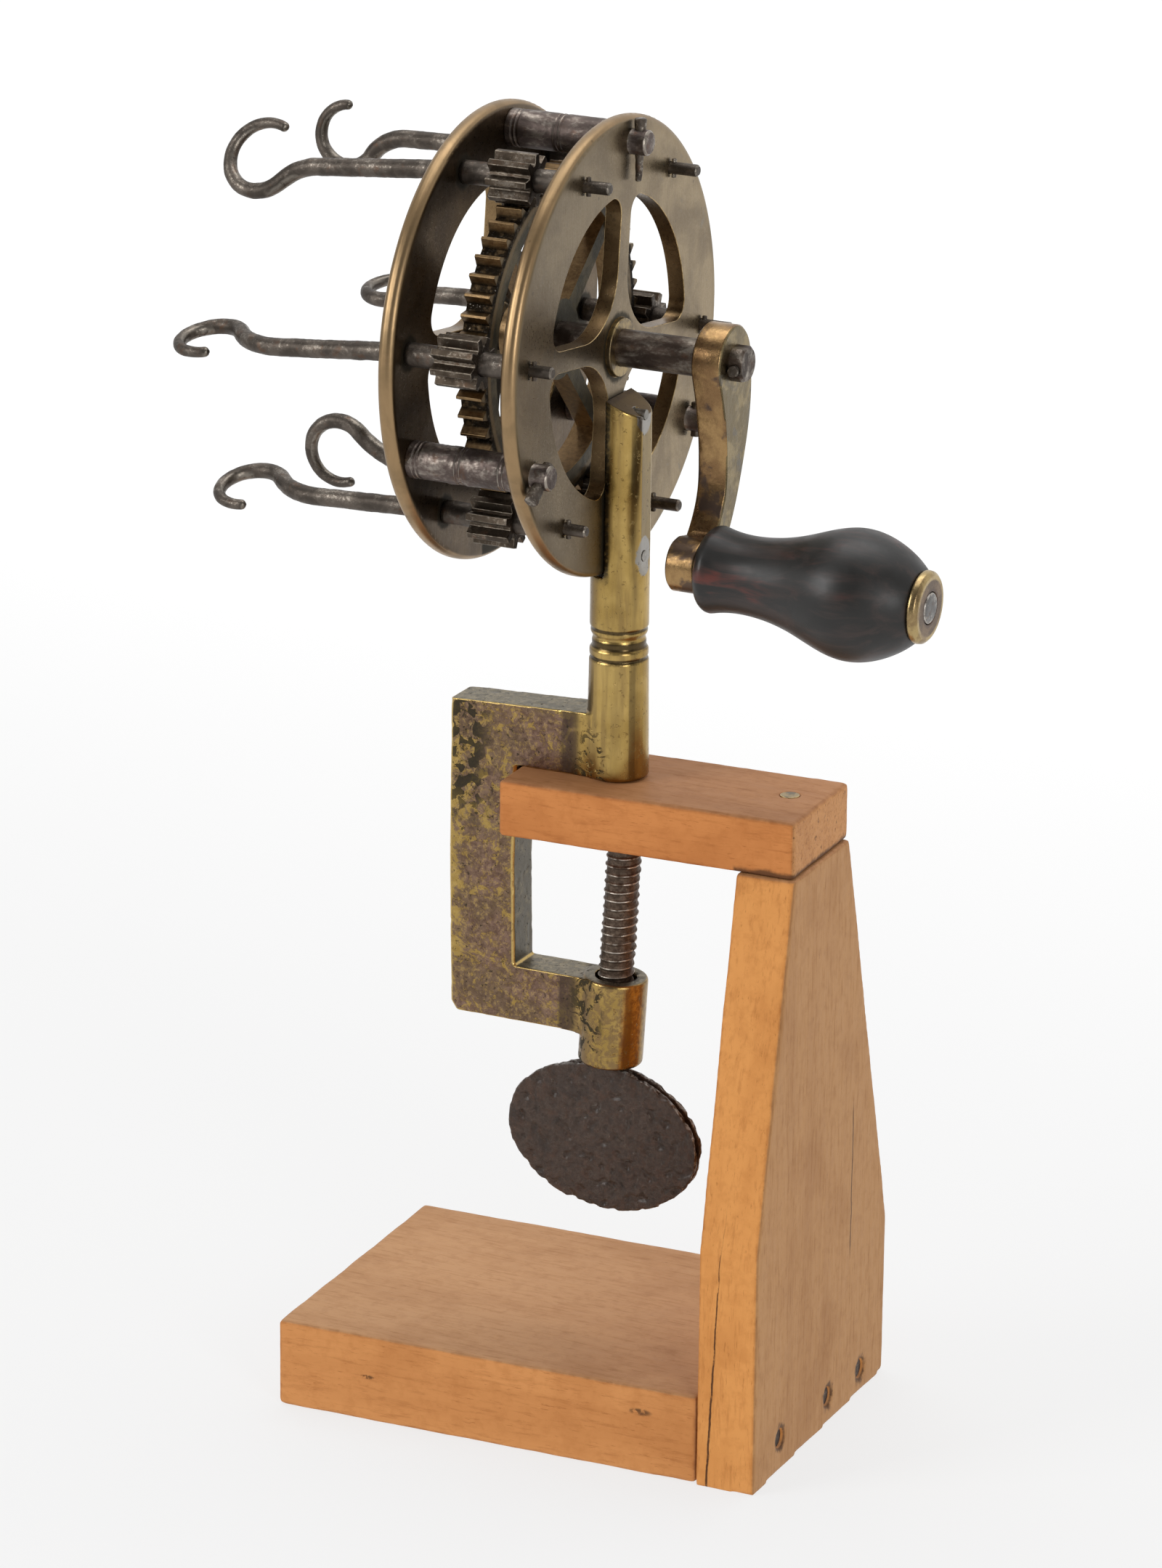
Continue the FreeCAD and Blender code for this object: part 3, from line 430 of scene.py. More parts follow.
def cast_brass():
    """Cast brass: gold borders, purple-brown patina, black flakes, and a cleaner turned post."""
    look = Look("cast_brass", metallic=1.0)
    x, y, z = look.axes()
    nx, ny, nz = look.axes("Normal")
    cloud = look.noise(9 * MM, 8, 0.70, 0.9)
    grain = look.noise(2.2 * MM, 9, 0.76, 0.6)
    fine = look.noise(0.8 * MM, 5, 0.7)
    ragged = look.warped(3 * MM, 2.2 * MM)
    side = look.between(look.magnitude(ny), 0.55, 0.93)
    bow = look.between(x, POST_LEFT, POST_LEFT - 3 * MM)
    on_post = look.minus(1.0, bow)
    calm = look.plus(look.product(grain, 0.15), look.product(look.noise(14 * MM, 3, 0.5), 0.85))
    mixed = look.blend_values(bow, calm, grain)
    gold = look.shade(mixed, 0.36, 0.66, (0.335, 0.218, 0.064), (0.500, 0.345, 0.118))
    # patina grows from the left border inwards and is broken up by small gold flecks
    inward = look.between(x, BOW_LEFT - 1 * MM, BOW_LEFT + 8 * MM)
    seed = look.plus(look.product(cloud, 0.50), look.product(grain, 0.44))
    seed = look.plus(seed, look.product(inward, 0.070))
    seed = look.plus(seed, look.product(look.between(z, 155 * MM, 125 * MM), 0.012))
    patina = look.between(seed, 0.475, 0.525)
    flecks = look.between(look.noise(1.1 * MM, 8, 0.78, 0.3), 0.58, 0.52)
    patina = look.product(patina, look.blend_values(flecks, 0.50, 1.0))
    bow_share = look.product(patina, side, bow)
    purple = look.shade(grain, 0.40, 0.60, (0.120, 0.070, 0.056), (0.235, 0.148, 0.116))
    olive = look.shade(grain, 0.40, 0.60, (0.118, 0.076, 0.055), (0.200, 0.133, 0.090))
    brown = look.shade(look.noise(18 * MM, 3, 0.5), 0.42, 0.58, purple, olive)
    colour = look.mix(look.product(bow_share, 0.95), gold, brown)
    # the post: long soft bands of brown and olive under the gold
    bands = look.noise(4.5 * MM, 4, 0.6, 0.3, look.stretched((1, 1, 0.10)))
    band = look.product(on_post, look.between(bands, 0.46, 0.66), 0.60)
    colour = look.mix(band, colour, (0.220, 0.145, 0.060))
    # painted shade: the post's left side, turned away from the light, is darkened
    left = look.product(on_post, look.between(nx, -0.15, -0.80), 0.85)
    colour = look.mix(left, colour, (0.130, 0.085, 0.042))
    # painted shade: a wavering dark stripe where the post's surface turns towards the crank
    streak = look.product(look.between(nx, 0.66, 0.76), look.between(nx, 0.92, 0.84), on_post)
    wavering = look.noise(7 * MM, 4, 0.5, 0.0, look.stretched((1, 1, 0.2)))
    streak = look.product(streak, look.between(wavering, 0.36, 0.56))
    colour = look.mix(look.product(streak, 0.65), colour, (0.120, 0.085, 0.038))
    boss = look.product(on_post, look.between(z, 150 * MM, 140 * MM), look.between(grain, 0.42, 0.56))
    colour = look.mix(look.product(boss, 0.75), colour, (0.190, 0.120, 0.062))
    # the flat towards the crank, its solder-grey blotches at the rivets, and near-black clumps on the post's back
    # half just below the flat
    upper = look.between(z, 247 * MM, 252 * MM)
    flat = look.product(look.between(nx, 0.970, 0.990), on_post, upper)
    colour = look.mix(look.product(flat, 0.7), colour, (0.150, 0.118, 0.070))
    uneven = look.wobble(2.5 * MM, 1.3, 4)
    for rivet_y, rivet_z in POST_RIVETS:
        across = look.math("DIVIDE", look.minus(y, rivet_y), 3.4 * MM)
        rise = look.math("DIVIDE", look.minus(z, rivet_z), 5.4 * MM)
        reach = look.squares(across, rise)
        blotch = look.between(look.plus(reach, uneven), 1.15, 0.90)
        blotch = look.product(blotch, look.between(nx, 0.5, 0.7))
        colour = look.mix(look.product(blotch, 0.9), colour, (0.300, 0.290, 0.275))
    clumps = look.ramp(look.noise(1.4 * MM, 4, 0.6), 0.35, 0.55, 0.6, 1.0)
    corner = look.product(look.between(x, 0.9 * MM, -0.1 * MM), on_post)
    corner = look.product(corner, look.between(z, 243 * MM, 247 * MM))
    colour = look.mix(look.product(corner, clumps, 0.9), colour, (0.028, 0.024, 0.018))
    # painted shade: the post's grooves are coloured dark
    for groove_z, half in POST_GROOVES:
        away = look.magnitude(look.minus(z, groove_z))
        groove = look.product(look.between(away, half + 0.3 * MM, half - 0.1 * MM), on_post)
        colour = look.mix(look.product(groove, 0.88), colour, (0.050, 0.035, 0.020))
    # upward faces and the inside of the bow are grey-brown
    top = look.product(look.between(nz, 0.75, 0.95), look.between(z, CLAMP_TOP + 20 * MM, CLAMP_TOP))
    inner = look.product(look.between(nx, 0.75, 0.95), look.between(x, -20 * MM, -26 * MM))
    dull = look.shade(grain, 0.4, 0.62, (0.105, 0.105, 0.092), (0.240, 0.215, 0.160))
    dull = look.mix(look.product(inner, look.between(seed, 0.48, 0.54)), dull, (0.065, 0.075, 0.082))
    colour = look.mix(look.product(look.largest(top, inner), 0.85), colour, dull)
    # dark stripes where the arms meet the round parts, and the dark sawn top of the post
    cove = look.product(look.between(x, -15.0 * MM, -13.5 * MM), look.between(x, -8.0 * MM, -10.0 * MM))
    cove = look.product(cove, side, look.between(look.noise(5 * MM, 3), 0.20, 0.50))
    colour = look.mix(look.product(cove, 0.80), colour, (0.070, 0.048, 0.036))
    roof = look.between(z, POST_TOP - 12 * MM, POST_TOP - 9 * MM)
    roof = look.product(look.between(nz, 0.60, 0.80), roof)
    colour = look.mix(look.product(roof, 0.9), colour, (0.085, 0.055, 0.030))
    # black flakes high on the bow and at the foot of the post
    high = look.product(look.between(z, 163 * MM, 180 * MM), bow, side, look.between(x, -33 * MM, -41 * MM))
    flakes = look.product(look.chosen_cells(2.6 * MM, 0.42, ragged), high)
    foot = look.product(on_post, look.between(z, 207 * MM, 196 * MM), look.between(nx, 0.25, -0.15))
    foot = look.product(foot, look.between(look.noise(4.2 * MM, 6, 0.62, 1.2), 0.53, 0.57))
    limit = look.blend_values(high, 0.595, 0.545)
    dots = look.noise(1.5 * MM, 8, 0.72, 0.3)
    specks = look.between(dots, limit, look.plus(limit, 0.03))
    specks = look.product(specks, look.blend_values(bow, 0.35, 0.85))
    pit = look.largest(flakes, foot, specks)
    colour = look.mix(look.product(pit, 0.88), colour, (0.038, 0.034, 0.024))
    # painted highlight: bright gold along the bow's rounded edges
    edge = look.product(look.rounded_edge(0.985, 0.90), bow, look.between(grain, 0.30, 0.46))
    colour = look.mix(look.product(edge, 0.85), colour, (0.560, 0.400, 0.145))
    # painted shade: concave creases are darkened
    crease = look.pointed(0.470, 0.425)
    colour = look.mix(look.product(crease, 0.85), colour, (0.060, 0.040, 0.022))
    look.colour(colour)
    rough = look.ramp(mixed, 0.3, 0.7, 0.26, 0.31)
    rough = look.blend_values(bow_share, rough, 0.44)
    rough = look.blend_values(look.largest(top, inner, roof), rough, 0.42)
    look.roughness(look.blend_values(pit, rough, 0.60))
    look.bump(pit, 0.5, -0.0002)
    look.bump(look.noise(1.8 * MM, 5, 0.6, 0.4), look.blend_values(bow, 0.04, 0.25), 0.00035)
    look.bump(fine, look.blend_values(bow, 0.03, 0.14), 0.00012)
    return look.material


def dark_steel(name, tint, shine, speck, soft=0.05, along_x=1.0, metallic=1.0, skyward=False, rim=False):
    """Forged steel, dark grey-brown, rubbed silvery on the high spots; rim adds a painted highlight on faces half
    turned towards +X, such as end chamfers, and skyward keeps the silver to upward faces as a painted highlight
    from above.
    """
    look = Look(name, metallic=metallic)
    mottle = look.noise(speck, 6, 0.70, 0.3, look.stretched((along_x, 1, 1)))
    cloud = look.noise(6 * MM, 4, 0.6, 0.5, look.stretched((along_x, 1, 1)))
    dark = look.shade(cloud, 0.38, 0.64, tint, tuple(1.8 * part for part in tint))
    worn = look.plus(look.product(mottle, 0.62), look.product(cloud, 0.38))
    silver_wear_and_highlight = look.between(worn, 0.56 - soft, 0.56 + soft)
    nx, _, nz = look.axes("Normal")
    # skyward: the rubbed silver is kept to upward faces, a painted highlight from above
    if skyward:
        silver_wear_and_highlight = look.product(silver_wear_and_highlight, look.between(nz, -0.5, 0.6))
    # rim: painted highlight, silver on faces half turned towards +X, such as the end chamfers
    if rim:
        ring = look.product(look.between(nx, 0.25, 0.45), look.between(nx, 0.95, 0.80))
        silver_wear_and_highlight = look.largest(silver_wear_and_highlight, look.product(ring, look.between(look.noise(2 * MM, 3), 0.30, 0.45)))
    colour = look.mix(look.product(silver_wear_and_highlight, shine), dark, (0.50, 0.455, 0.385))
    rust = look.product(look.between(look.noise(4 * MM, 5, 0.6, 0.2), 0.55, 0.70), 0.5)
    colour = look.mix(rust, colour, (0.120, 0.062, 0.036))
    look.colour(colour)
    look.roughness(look.blend_values(silver_wear_and_highlight, 0.50, 0.32))
    look.bump(look.noise(0.9 * MM, 6, 0.70), 0.40, 0.0002)
    look.bump(look.noise(3.2 * MM, 3, 0.5), 0.35, 0.0005)
    return look.material


def bright_edge(name, colour, dull):
    """Narrow bevels: rubbed bright, with dull stretches."""
    look = Look(name, metallic=1.0)
    wear = look.noise(0.0018, 4, 0.65)
    look.colour(look.shade(wear, 0.38, 0.6, dull, colour))
    look.roughness(look.blend_values(wear, 0.25, 0.42))
    return look.material


GEAR_TEETH = 54
GEAR_TIP_R = 47.6 * MM
GEAR_ROOT_R = 44.9 * MM
TOOTH_SHARE = 0.85
GEAR_SIDES = (-26.1 * MM, -18.5 * MM)


def gear_brass():
    """Brown brass teeth, dark greenish web and black grime in the tooth spaces."""
    look = Look("gear_brass", metallic=1.0)
    nx, _, _ = look.axes("Normal")
    radius = look.radius_from_shaft()
    cloud = look.noise(8 * MM, 5, 0.6, 0.5)
    fine = look.noise(1.4 * MM, 5, 0.7, 0.3)
    tooth = look.shade(fine, 0.35, 0.65, (0.175, 0.112, 0.056), (0.285, 0.188, 0.094))
    face = look.shade(cloud, 0.38, 0.62, (0.055, 0.050, 0.034), (0.120, 0.098, 0.058))
    ring = look.between(radius, GEAR_ROOT_R - 3.5 * MM, GEAR_ROOT_R - 2.5 * MM)
    face = look.mix(look.product(ring, 0.75), face, (0.190, 0.130, 0.064))
    side = look.between(look.magnitude(nx), 0.6, 0.9)
    colour = look.mix(side, tooth, face)
    deep = look.between(radius, GEAR_TIP_R - 1.3 * MM, GEAR_ROOT_R + 0.1 * MM)
    rim = look.between(radius, GEAR_ROOT_R - 1.8 * MM, GEAR_ROOT_R - 0.8 * MM)
    clots = look.ramp(look.noise(2.0 * MM, 5, 0.6), 0.34, 0.54, 0.55, 1.0)
    grime = look.product(deep, rim, clots)
    colour = look.mix(look.product(grime, 0.93), colour, (0.014, 0.012, 0.010))
    wet = look.product(grime, look.between(look.noise(0.7 * MM, 4, 0.7), 0.58, 0.66))
    colour = look.mix(look.product(wet, 0.7), colour, (0.150, 0.140, 0.125))
    look.colour(colour)
    rough = look.ramp(fine, 0.3, 0.7, 0.34, 0.46)
    rough = look.blend_values(grime, rough, 0.75)
    look.roughness(look.blend_values(wet, rough, 0.22))
    lines = look.noise(0.6 * MM, 3, 0.6, 0.0, look.stretched((0.08, 1, 1)))
    look.bump(lines, 0.3, 0.00015)
    look.bump(fine, 0.3, 0.00025)
    return look.material


def crank_brass():
    """Forged brass arm: copper-gold side, olive-grey outer face, purple-black patches lower down."""
    look = Look("crank_brass", metallic=1.0)
    nx, _, _ = look.axes("Normal")
    _, _, z = look.axes()
    cloud = look.noise(9 * MM, 6, 0.62, 0.5)
    patch = look.noise(7 * MM, 5, 0.58, 0.5)
    fine = look.noise(0.8 * MM, 4, 0.7)
    warm = look.shade(cloud, 0.40, 0.62, (0.225, 0.132, 0.062), (0.360, 0.225, 0.100))
    outer = look.shade(cloud, 0.44, 0.58, (0.150, 0.114, 0.058), (0.250, 0.190, 0.095))
    outer = look.mix(look.product(look.between(patch, 0.56, 0.68), 0.7), outer, (0.110, 0.100, 0.085))
    colour = look.shade(nx, 0.45, 0.85, warm, outer)
    low = look.between(z, SHAFT_Z - 8 * MM, SHAFT_Z - 42 * MM)
    limit = look.minus(0.56, look.product(low, 0.10))
    dark = look.between(patch, limit, look.plus(limit, 0.13))
    dark = look.product(dark, look.between(nx, 0.8, 0.4))
    colour = look.mix(look.product(dark, 0.85), colour, (0.085, 0.062, 0.055))
    look.colour(colour)
    rough = look.ramp(fine, 0.3, 0.7, 0.24, 0.36)
    look.roughness(look.blend_values(dark, rough, 0.44))
    file_marks = look.noise(0.5 * MM, 3, 0.6, 0.0, look.stretched((0.08, 0.5, 1), (0, 0.15, 0)))
    look.bump(file_marks, 0.22, 0.00012)
    look.bump(look.noise(4 * MM, 3, 0.5), 0.3, 0.0006)
    return look.material


def trim_brass():
    """Bushes and board screw: rubbed yellow brass, clouded with brown."""
    look = Look("trim_brass", metallic=1.0)
    cloud = look.noise(0.003, 5, 0.6, 0.4)
    fine = look.noise(0.0006, 4, 0.7)
    look.colour(look.shade(cloud, 0.42, 0.62, (0.34, 0.25, 0.12), (0.14, 0.105, 0.062)))
    look.roughness(look.blend_values(fine, 0.24, 0.46))
    look.bump(fine, 0.25, 0.00015)
    return look.material


def handle_axis_distance(look):
    """Distance from the line that the handle spins about."""
    joint = JOINTS["handle_spin"]
    offset = look.node("ShaderNodeVectorMath", operation="SUBTRACT")
    look.feed(offset.inputs[0], look.place.outputs["Object"])
    offset.inputs[1].default_value = joint["pos_m"]
    cross = look.node("ShaderNodeVectorMath", operation="CROSS_PRODUCT")
    look.feed(cross.inputs[0], offset.outputs[0])
    cross.inputs[1].default_value = Vector(joint["axis"]).normalized()
    length = look.node("ShaderNodeVectorMath", operation="LENGTH")
    look.feed(length.inputs[0], cross.outputs[0])
    return length.outputs["Value"]


def ferrule_brass():
    """Handle's end cap: gold rim, brown polished face and rust round the rivet."""
    look = Look("ferrule_brass", metallic=1.0)
    nx, _, _ = look.axes("Normal")
    away = handle_axis_distance(look)
    fine = look.noise(0.8 * MM, 4, 0.7)
    cloud = look.noise(4 * MM, 5, 0.6, 0.4)
    rim = look.shade(cloud, 0.40, 0.64, (0.43, 0.32, 0.15), (0.26, 0.18, 0.09))
    face = look.shade(cloud, 0.40, 0.60, (0.100, 0.062, 0.035), (0.170, 0.110, 0.062))
    inside = look.product(look.between(away, 8.0 * MM, 7.3 * MM), look.between(nx, 0.5, 0.8))
    colour = look.mix(inside, rim, face)
    rust = look.between(away, 5.6 * MM, 4.8 * MM)
    look.colour(look.mix(look.product(rust, 0.8), colour, (0.062, 0.030, 0.018)))
    look.roughness(look.ramp(fine, 0.3, 0.7, 0.24, 0.36))
    look.bump(fine, 0.15, 0.00015)
    return look.material


def screw_iron():
    """Dark brown iron thread with crests rubbed bright."""
    look = Look("screw_iron", metallic=0.85)
    crest = look.pointed(0.515, 0.56)
    mottle = look.noise(0.0012, 6, 0.7, 0.3)
    colour = look.shade(mottle, 0.38, 0.65, (0.060, 0.040, 0.028), (0.135, 0.098, 0.072))
    rubbed = look.product(crest, look.between(look.noise(0.0035, 4, 0.6), 0.38, 0.55))
    colour = look.mix(rubbed, colour, (0.50, 0.45, 0.39))
    look.colour(colour)
    look.roughness(look.blend_values(rubbed, 0.50, 0.28))
    look.bump(mottle, 0.5, 0.0003)
    return look.material


def thumb_iron():
    """Rust-brown pitted iron plate with a greasy gloss coat, and a painted highlight in light grey on its edges.
    """
    look = Look("thumb_iron", metallic=0.7)
    cloud = look.noise(8 * MM, 6, 0.65, 0.6)
    grain = look.noise(1.7 * MM, 9, 0.70, 0.1)
    colour = look.shade(grain, 0.36, 0.64, (0.070, 0.046, 0.034), (0.115, 0.080, 0.060))
    rust = look.product(look.between(look.noise(3.0 * MM, 7, 0.7, 0.1), 0.48, 0.64), 0.55)
    colour = look.mix(rust, colour, (0.125, 0.064, 0.038))
    colour = look.mix(look.product(look.between(cloud, 0.52, 0.66), 0.5), colour, (0.040, 0.032, 0.028))
    # painted highlight: light grey on the plate's edges, broken up by the grain
    edge = look.product(look.between(look.magnitude(look.axes("Normal")[1]), 0.93, 0.70), 0.8)
    shine = look.product(edge, look.between(grain, 0.46, 0.58))
    colour = look.mix(shine, colour, (0.42, 0.40, 0.38))
    look.colour(colour)
    look.roughness(look.ramp(grain, 0.35, 0.65, 0.46, 0.27))
    look.shader.inputs["Coat Weight"].default_value = 0.35
    look.shader.inputs["Coat Roughness"].default_value = 0.30
    look.bump(look.noise(5 * MM, 5, 0.6), 0.9, 0.0016)
    look.bump(grain, 1.0, 0.0018)
    look.bump(look.noise(1.0 * MM, 5, 0.7), 0.6, 0.0005)
    return look.material


def grip_ebony():
    """Polished near-black hardwood with reddish streaks along the grain."""
    look = Look("grip_ebony")
    along = look.stretched((0.10, 1, 1), (0, math.radians(1.8), 0))
    streak = look.noise(0.004, 5, 0.6, 0.5, along)
    pores = look.noise(0.00035, 3, 0.6, 0.0, look.stretched((0.05, 1, 1)))
    colour = look.shade(streak, 0.42, 0.66, (0.012, 0.011, 0.010), (0.030, 0.020, 0.017))
    patches = look.between(look.noise(13 * MM, 3, 0.5), 0.50, 0.64)
    x, _, _ = look.axes()
    neck = look.ramp(x, 62 * MM, 46 * MM, 0.30, 1.0)
    red = look.product(look.between(streak, 0.50, 0.66), patches, neck)
    colour = look.mix(look.product(red, 0.9), colour, (0.105, 0.024, 0.017))
    look.colour(colour)
    look.roughness(look.ramp(look.noise(6 * MM, 4), 0.35, 0.65, 0.38, 0.47))
    look.shader.inputs["Specular IOR Level"].default_value = 0.42
    look.bump(pores, 0.15, 0.00008)
    return look.material


def stand_wood(name, grain_axis, near, right, top, marks):
    """Close-grained orange-brown wood; its near, right and top faces get their own colours as lit and shaded
    copies: a lit near face, a greyer painted sheen on the right face, and a darker top that is partly dirt and
    partly painted shade.
    """
    look = Look(name)
    nx, ny, nz = look.axes("Normal")
    # painted light and shade: the colour is chosen by facing, standing in for how the light falls on near, right
    # and top faces
    colour = look.shade(nx, 0.4, 0.85, near, right)
    colour = look.shade(nz, 0.4, 0.85, colour, top)
    squeeze = [1.0, 1.0, 1.0]
    squeeze[grain_axis] = 0.12
    along = look.stretched(tuple(squeeze), (0, 0, math.radians(2.2)))
    long = [1.0, 1.0, 1.0]
    long[grain_axis] = 0.04
    figure = look.noise(0.011, 4, 0.55, 0.5, look.stretched(tuple(long), (0.08, 0.05, 0.03)))
    fibre = look.noise(0.0013, 6, 0.68, 0.2, along)
    mottle = look.noise(0.0035, 6, 0.62, 0.3)
    pore = look.noise(0.00055, 3, 0.65, 0.0, along)
    cloud = look.noise(0.030, 4, 0.55, 0.4)
    shade = look.mix(1.0, colour, (0.70, 0.60, 0.50), "MULTIPLY")
    colour = look.mix(look.product(look.between(figure, 0.46, 0.70), 0.30), colour, shade)
    colour = look.mix(look.product(look.between(cloud, 0.48, 0.70), 0.40), colour, shade)
    colour = look.mix(look.product(look.between(mottle, 0.44, 0.68), 0.30), colour, shade)
    deep = look.mix(1.0, colour, (0.52, 0.40, 0.32), "MULTIPLY")
    colour = look.mix(look.product(look.between(fibre, 0.50, 0.70), 0.34), colour, deep)
    colour = look.mix(look.product(look.between(pore, 0.62, 0.70), 0.45), colour, deep)
    end_grain = look.between(look.magnitude((nx, ny, nz)[grain_axis]), 0.75, 0.95)
    coarse = look.noise(0.0011, 5, 0.7)
    colour = look.mix(look.product(end_grain, look.between(coarse, 0.50, 0.66), 0.45), colour, deep)
    worn = look.product(look.rounded_edge(0.985, 0.90), look.between(look.noise(0.004, 4), 0.35, 0.6))
    colour = look.mix(look.product(worn, 0.35), colour, deep)
    colour = marks(look, colour)
    look.colour(colour)
    look.roughness(look.ramp(fibre, 0.3, 0.7, 0.50, 0.62))
    look.shader.inputs["Specular IOR Level"].default_value = 0.14
    look.bump(fibre, 0.08, 0.0003)
    look.bump(pore, 0.10, 0.00012)
    look.bump(look.product(coarse, end_grain), 0.30, 0.0005)
    return look.material


def darken(look, colour, mask, shade, strength=1.0):
    return look.mix(look.product(mask, strength), colour, shade)


def loose_centres(node):
    """Centre of each separate solid in a CAD node."""
    bm = bmesh.new()
    bm.from_mesh(NODES[node].data)
    bmesh.ops.remove_doubles(bm, verts=bm.verts, dist=2e-6)
    left = set(bm.verts)
    centres = []
    while left:
        stack, group = [left.pop()], []
        while stack:
            vertex = stack.pop()
            group.append(vertex.co.copy())
            for edge in vertex.link_edges:
                other = edge.other_vert(vertex)
                if other in left:
                    left.remove(other)
                    stack.append(other)
        centres.append(sum(group, Vector()) / len(group))
    bm.free()
    return sorted(centres, key=lambda centre: (round(centre.y, 5), centre.z))


def upright_marks(look, colour):
    """Drying crack up the near face, a short one on the right face, and grime at the foot."""
    x, y, z = look.axes()
    nx, ny, _ = look.axes("Normal")
    wander = look.wobble(0.008, 0.0012, 5, 0.6)
    drift = look.product(z, 0.045)
    line = look.minus(look.plus(x, wander), look.plus(drift, 0.0478))
    width = look.product(look.between(z, 0.085, 0.01), 0.00020)
    crack = look.between(look.magnitude(line), look.plus(width, 0.00022), width)
    crack = look.product(crack, look.between(z, 0.086, 0.060), look.between(ny, -0.5, -0.8))
    crack = look.product(crack, look.ramp(look.noise(0.004, 4, 0.6), 0.36, 0.50, 0.35, 1.0))
    colour = darken(look, colour, crack, (0.050, 0.020, 0.010), 0.92)
    short = look.minus(look.plus(y, wander), 0.0315)
    short = look.between(look.magnitude(short), 0.0005, 0.0001)
    reach = look.product(look.between(z, 0.094, 0.086), look.between(z, 0.044, 0.050))
    short = look.product(look.product(short, reach), look.between(nx, 0.5, 0.8))
    colour = darken(look, colour, short, (0.045, 0.022, 0.012), 0.85)
    torn = look.wobble(0.0022, 0.0042, 4)
    for centre in loose_centres("base_screws"):
        across = look.minus(y, centre.y)
        rise = look.product(look.minus(z, centre.z), 0.8)
        away = look.math("SQRT", look.squares(across, rise))
        ring = look.between(look.plus(away, torn), 0.0043, 0.0026)
        ring = look.product(ring, look.between(nx, 0.5, 0.8))
        colour = darken(look, colour, ring, (0.070, 0.032, 0.016), 0.85)
    return colour


def base_marks(look, colour):
    """Small knots on the base's near side."""
    x, _, z = look.axes()
    _, ny, _ = look.axes("Normal")
    near = look.between(ny, -0.5, -0.8)
    for knot_x, knot_z, size in ((-0.0555, 0.0135, 0.0020), (0.0275, 0.0185, 0.0034)):
        run = look.math("DIVIDE", look.minus(x, knot_x), size)
        rise = look.math("DIVIDE", look.minus(z, knot_z), size * 0.30)
        reach = look.squares(run, rise)
        knot = look.product(look.between(reach, 1.5, 0.2), look.between(look.noise(0.0015), 0.40, 0.56))
        colour = darken(look, colour, look.product(knot, near), (0.060, 0.028, 0.014), 0.8)
    return colour


def board_marks(look, colour):
    """Dark glue line and chipped end where the board overhangs the upright."""
    x, _, z = look.axes()
    nx, _, _ = look.axes("Normal")
    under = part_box("stand_board")[0].z
    wobble = look.wobble(0.005, 0.0032, 4)
    glue = look.between(look.plus(z, wobble), under + 0.0022, under + 0.0008)
    glue = look.product(glue, look.between(x, 0.0425, 0.0435))
    colour = darken(look, colour, glue, (0.055, 0.024, 0.012), 0.85)
    end = look.between(nx, 0.5, 0.85)
    holes = look.between(look.noise(0.0022, 5, 0.65, 0.3), 0.60, 0.68)
    colour = darken(look, colour, look.product(holes, end), (0.085, 0.036, 0.016), 0.7)
    return colour


# ---------------------------------------------------------------- pieces
def make_plates():
    brass, edge = plate_brass(), plate_edge()
    for node in ("front_plate", "rear_plate"):
        paint(crisp(node, 0.35 * MM, 60), brass, edge)


def slim_teeth(bm):
    """Thins the drive gear's teeth about their middles, as wear has left them."""
    places = []
    for vertex in bm.verts:
        y, up = vertex.co.y, vertex.co.z - SHAFT_Z
        places.append((vertex, math.hypot(y, up), math.atan2(up, y)))
    tips = [angle for _, radius, angle in places if radius > GEAR_TIP_R - 0.4 * MM]
    phase = math.atan2(
        sum(math.sin(GEAR_TEETH * angle) for angle in tips),
        sum(math.cos(GEAR_TEETH * angle) for angle in tips),
    )
    for vertex, radius, angle in places:
        if radius < GEAR_ROOT_R - 0.4 * MM:
            continue
        turn = (GEAR_TEETH * angle - phase) / math.tau
        angle -= (turn - round(turn)) * (1 - TOOTH_SHARE) * math.tau / GEAR_TEETH
        vertex.co.y = radius * math.cos(angle)
        vertex.co.z = SHAFT_Z + radius * math.sin(angle)


def thin_gear(bm):
    """Brings the gear's sides to the width its teeth show; the boss behind them keeps its far end."""
    low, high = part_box("drive_gear")
    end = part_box("gear_centre")[0].x
    for vertex in bm.verts:
        x = vertex.co.x
        if x >= low.x:
            share = (x - low.x) / (high.x - low.x)
            vertex.co.x = GEAR_SIDES[0] + share * (GEAR_SIDES[1] - GEAR_SIDES[0])
        else:
            share = (x - end) / (low.x - end)
            vertex.co.x = end + share * (GEAR_SIDES[0] - end)


def worn_ring(bm):
    slim_teeth(bm)
    thin_gear(bm)


def make_gears():
    brass = gear_brass()
    gear_edge = bright_edge("gear_edge", (0.36, 0.25, 0.12), (0.13, 0.085, 0.040))
    paint(crisp("drive_gear", 0.13 * MM, reshape=worn_ring), brass, brass)
    paint(crisp("gear_centre", 0.3 * MM, reshape=thin_gear), brass, gear_edge)
    steel = dark_steel("pinion_steel", (0.060, 0.046, 0.034), 0.22, 1.2 * MM)
    steel_edge = bright_edge("pinion_edge", (0.200, 0.170, 0.135), (0.070, 0.055, 0.042))
    for number in range(1, 7):
        paint(crisp("pinion_%d" % number, 0.35 * MM, 25, 3), steel, steel_edge)


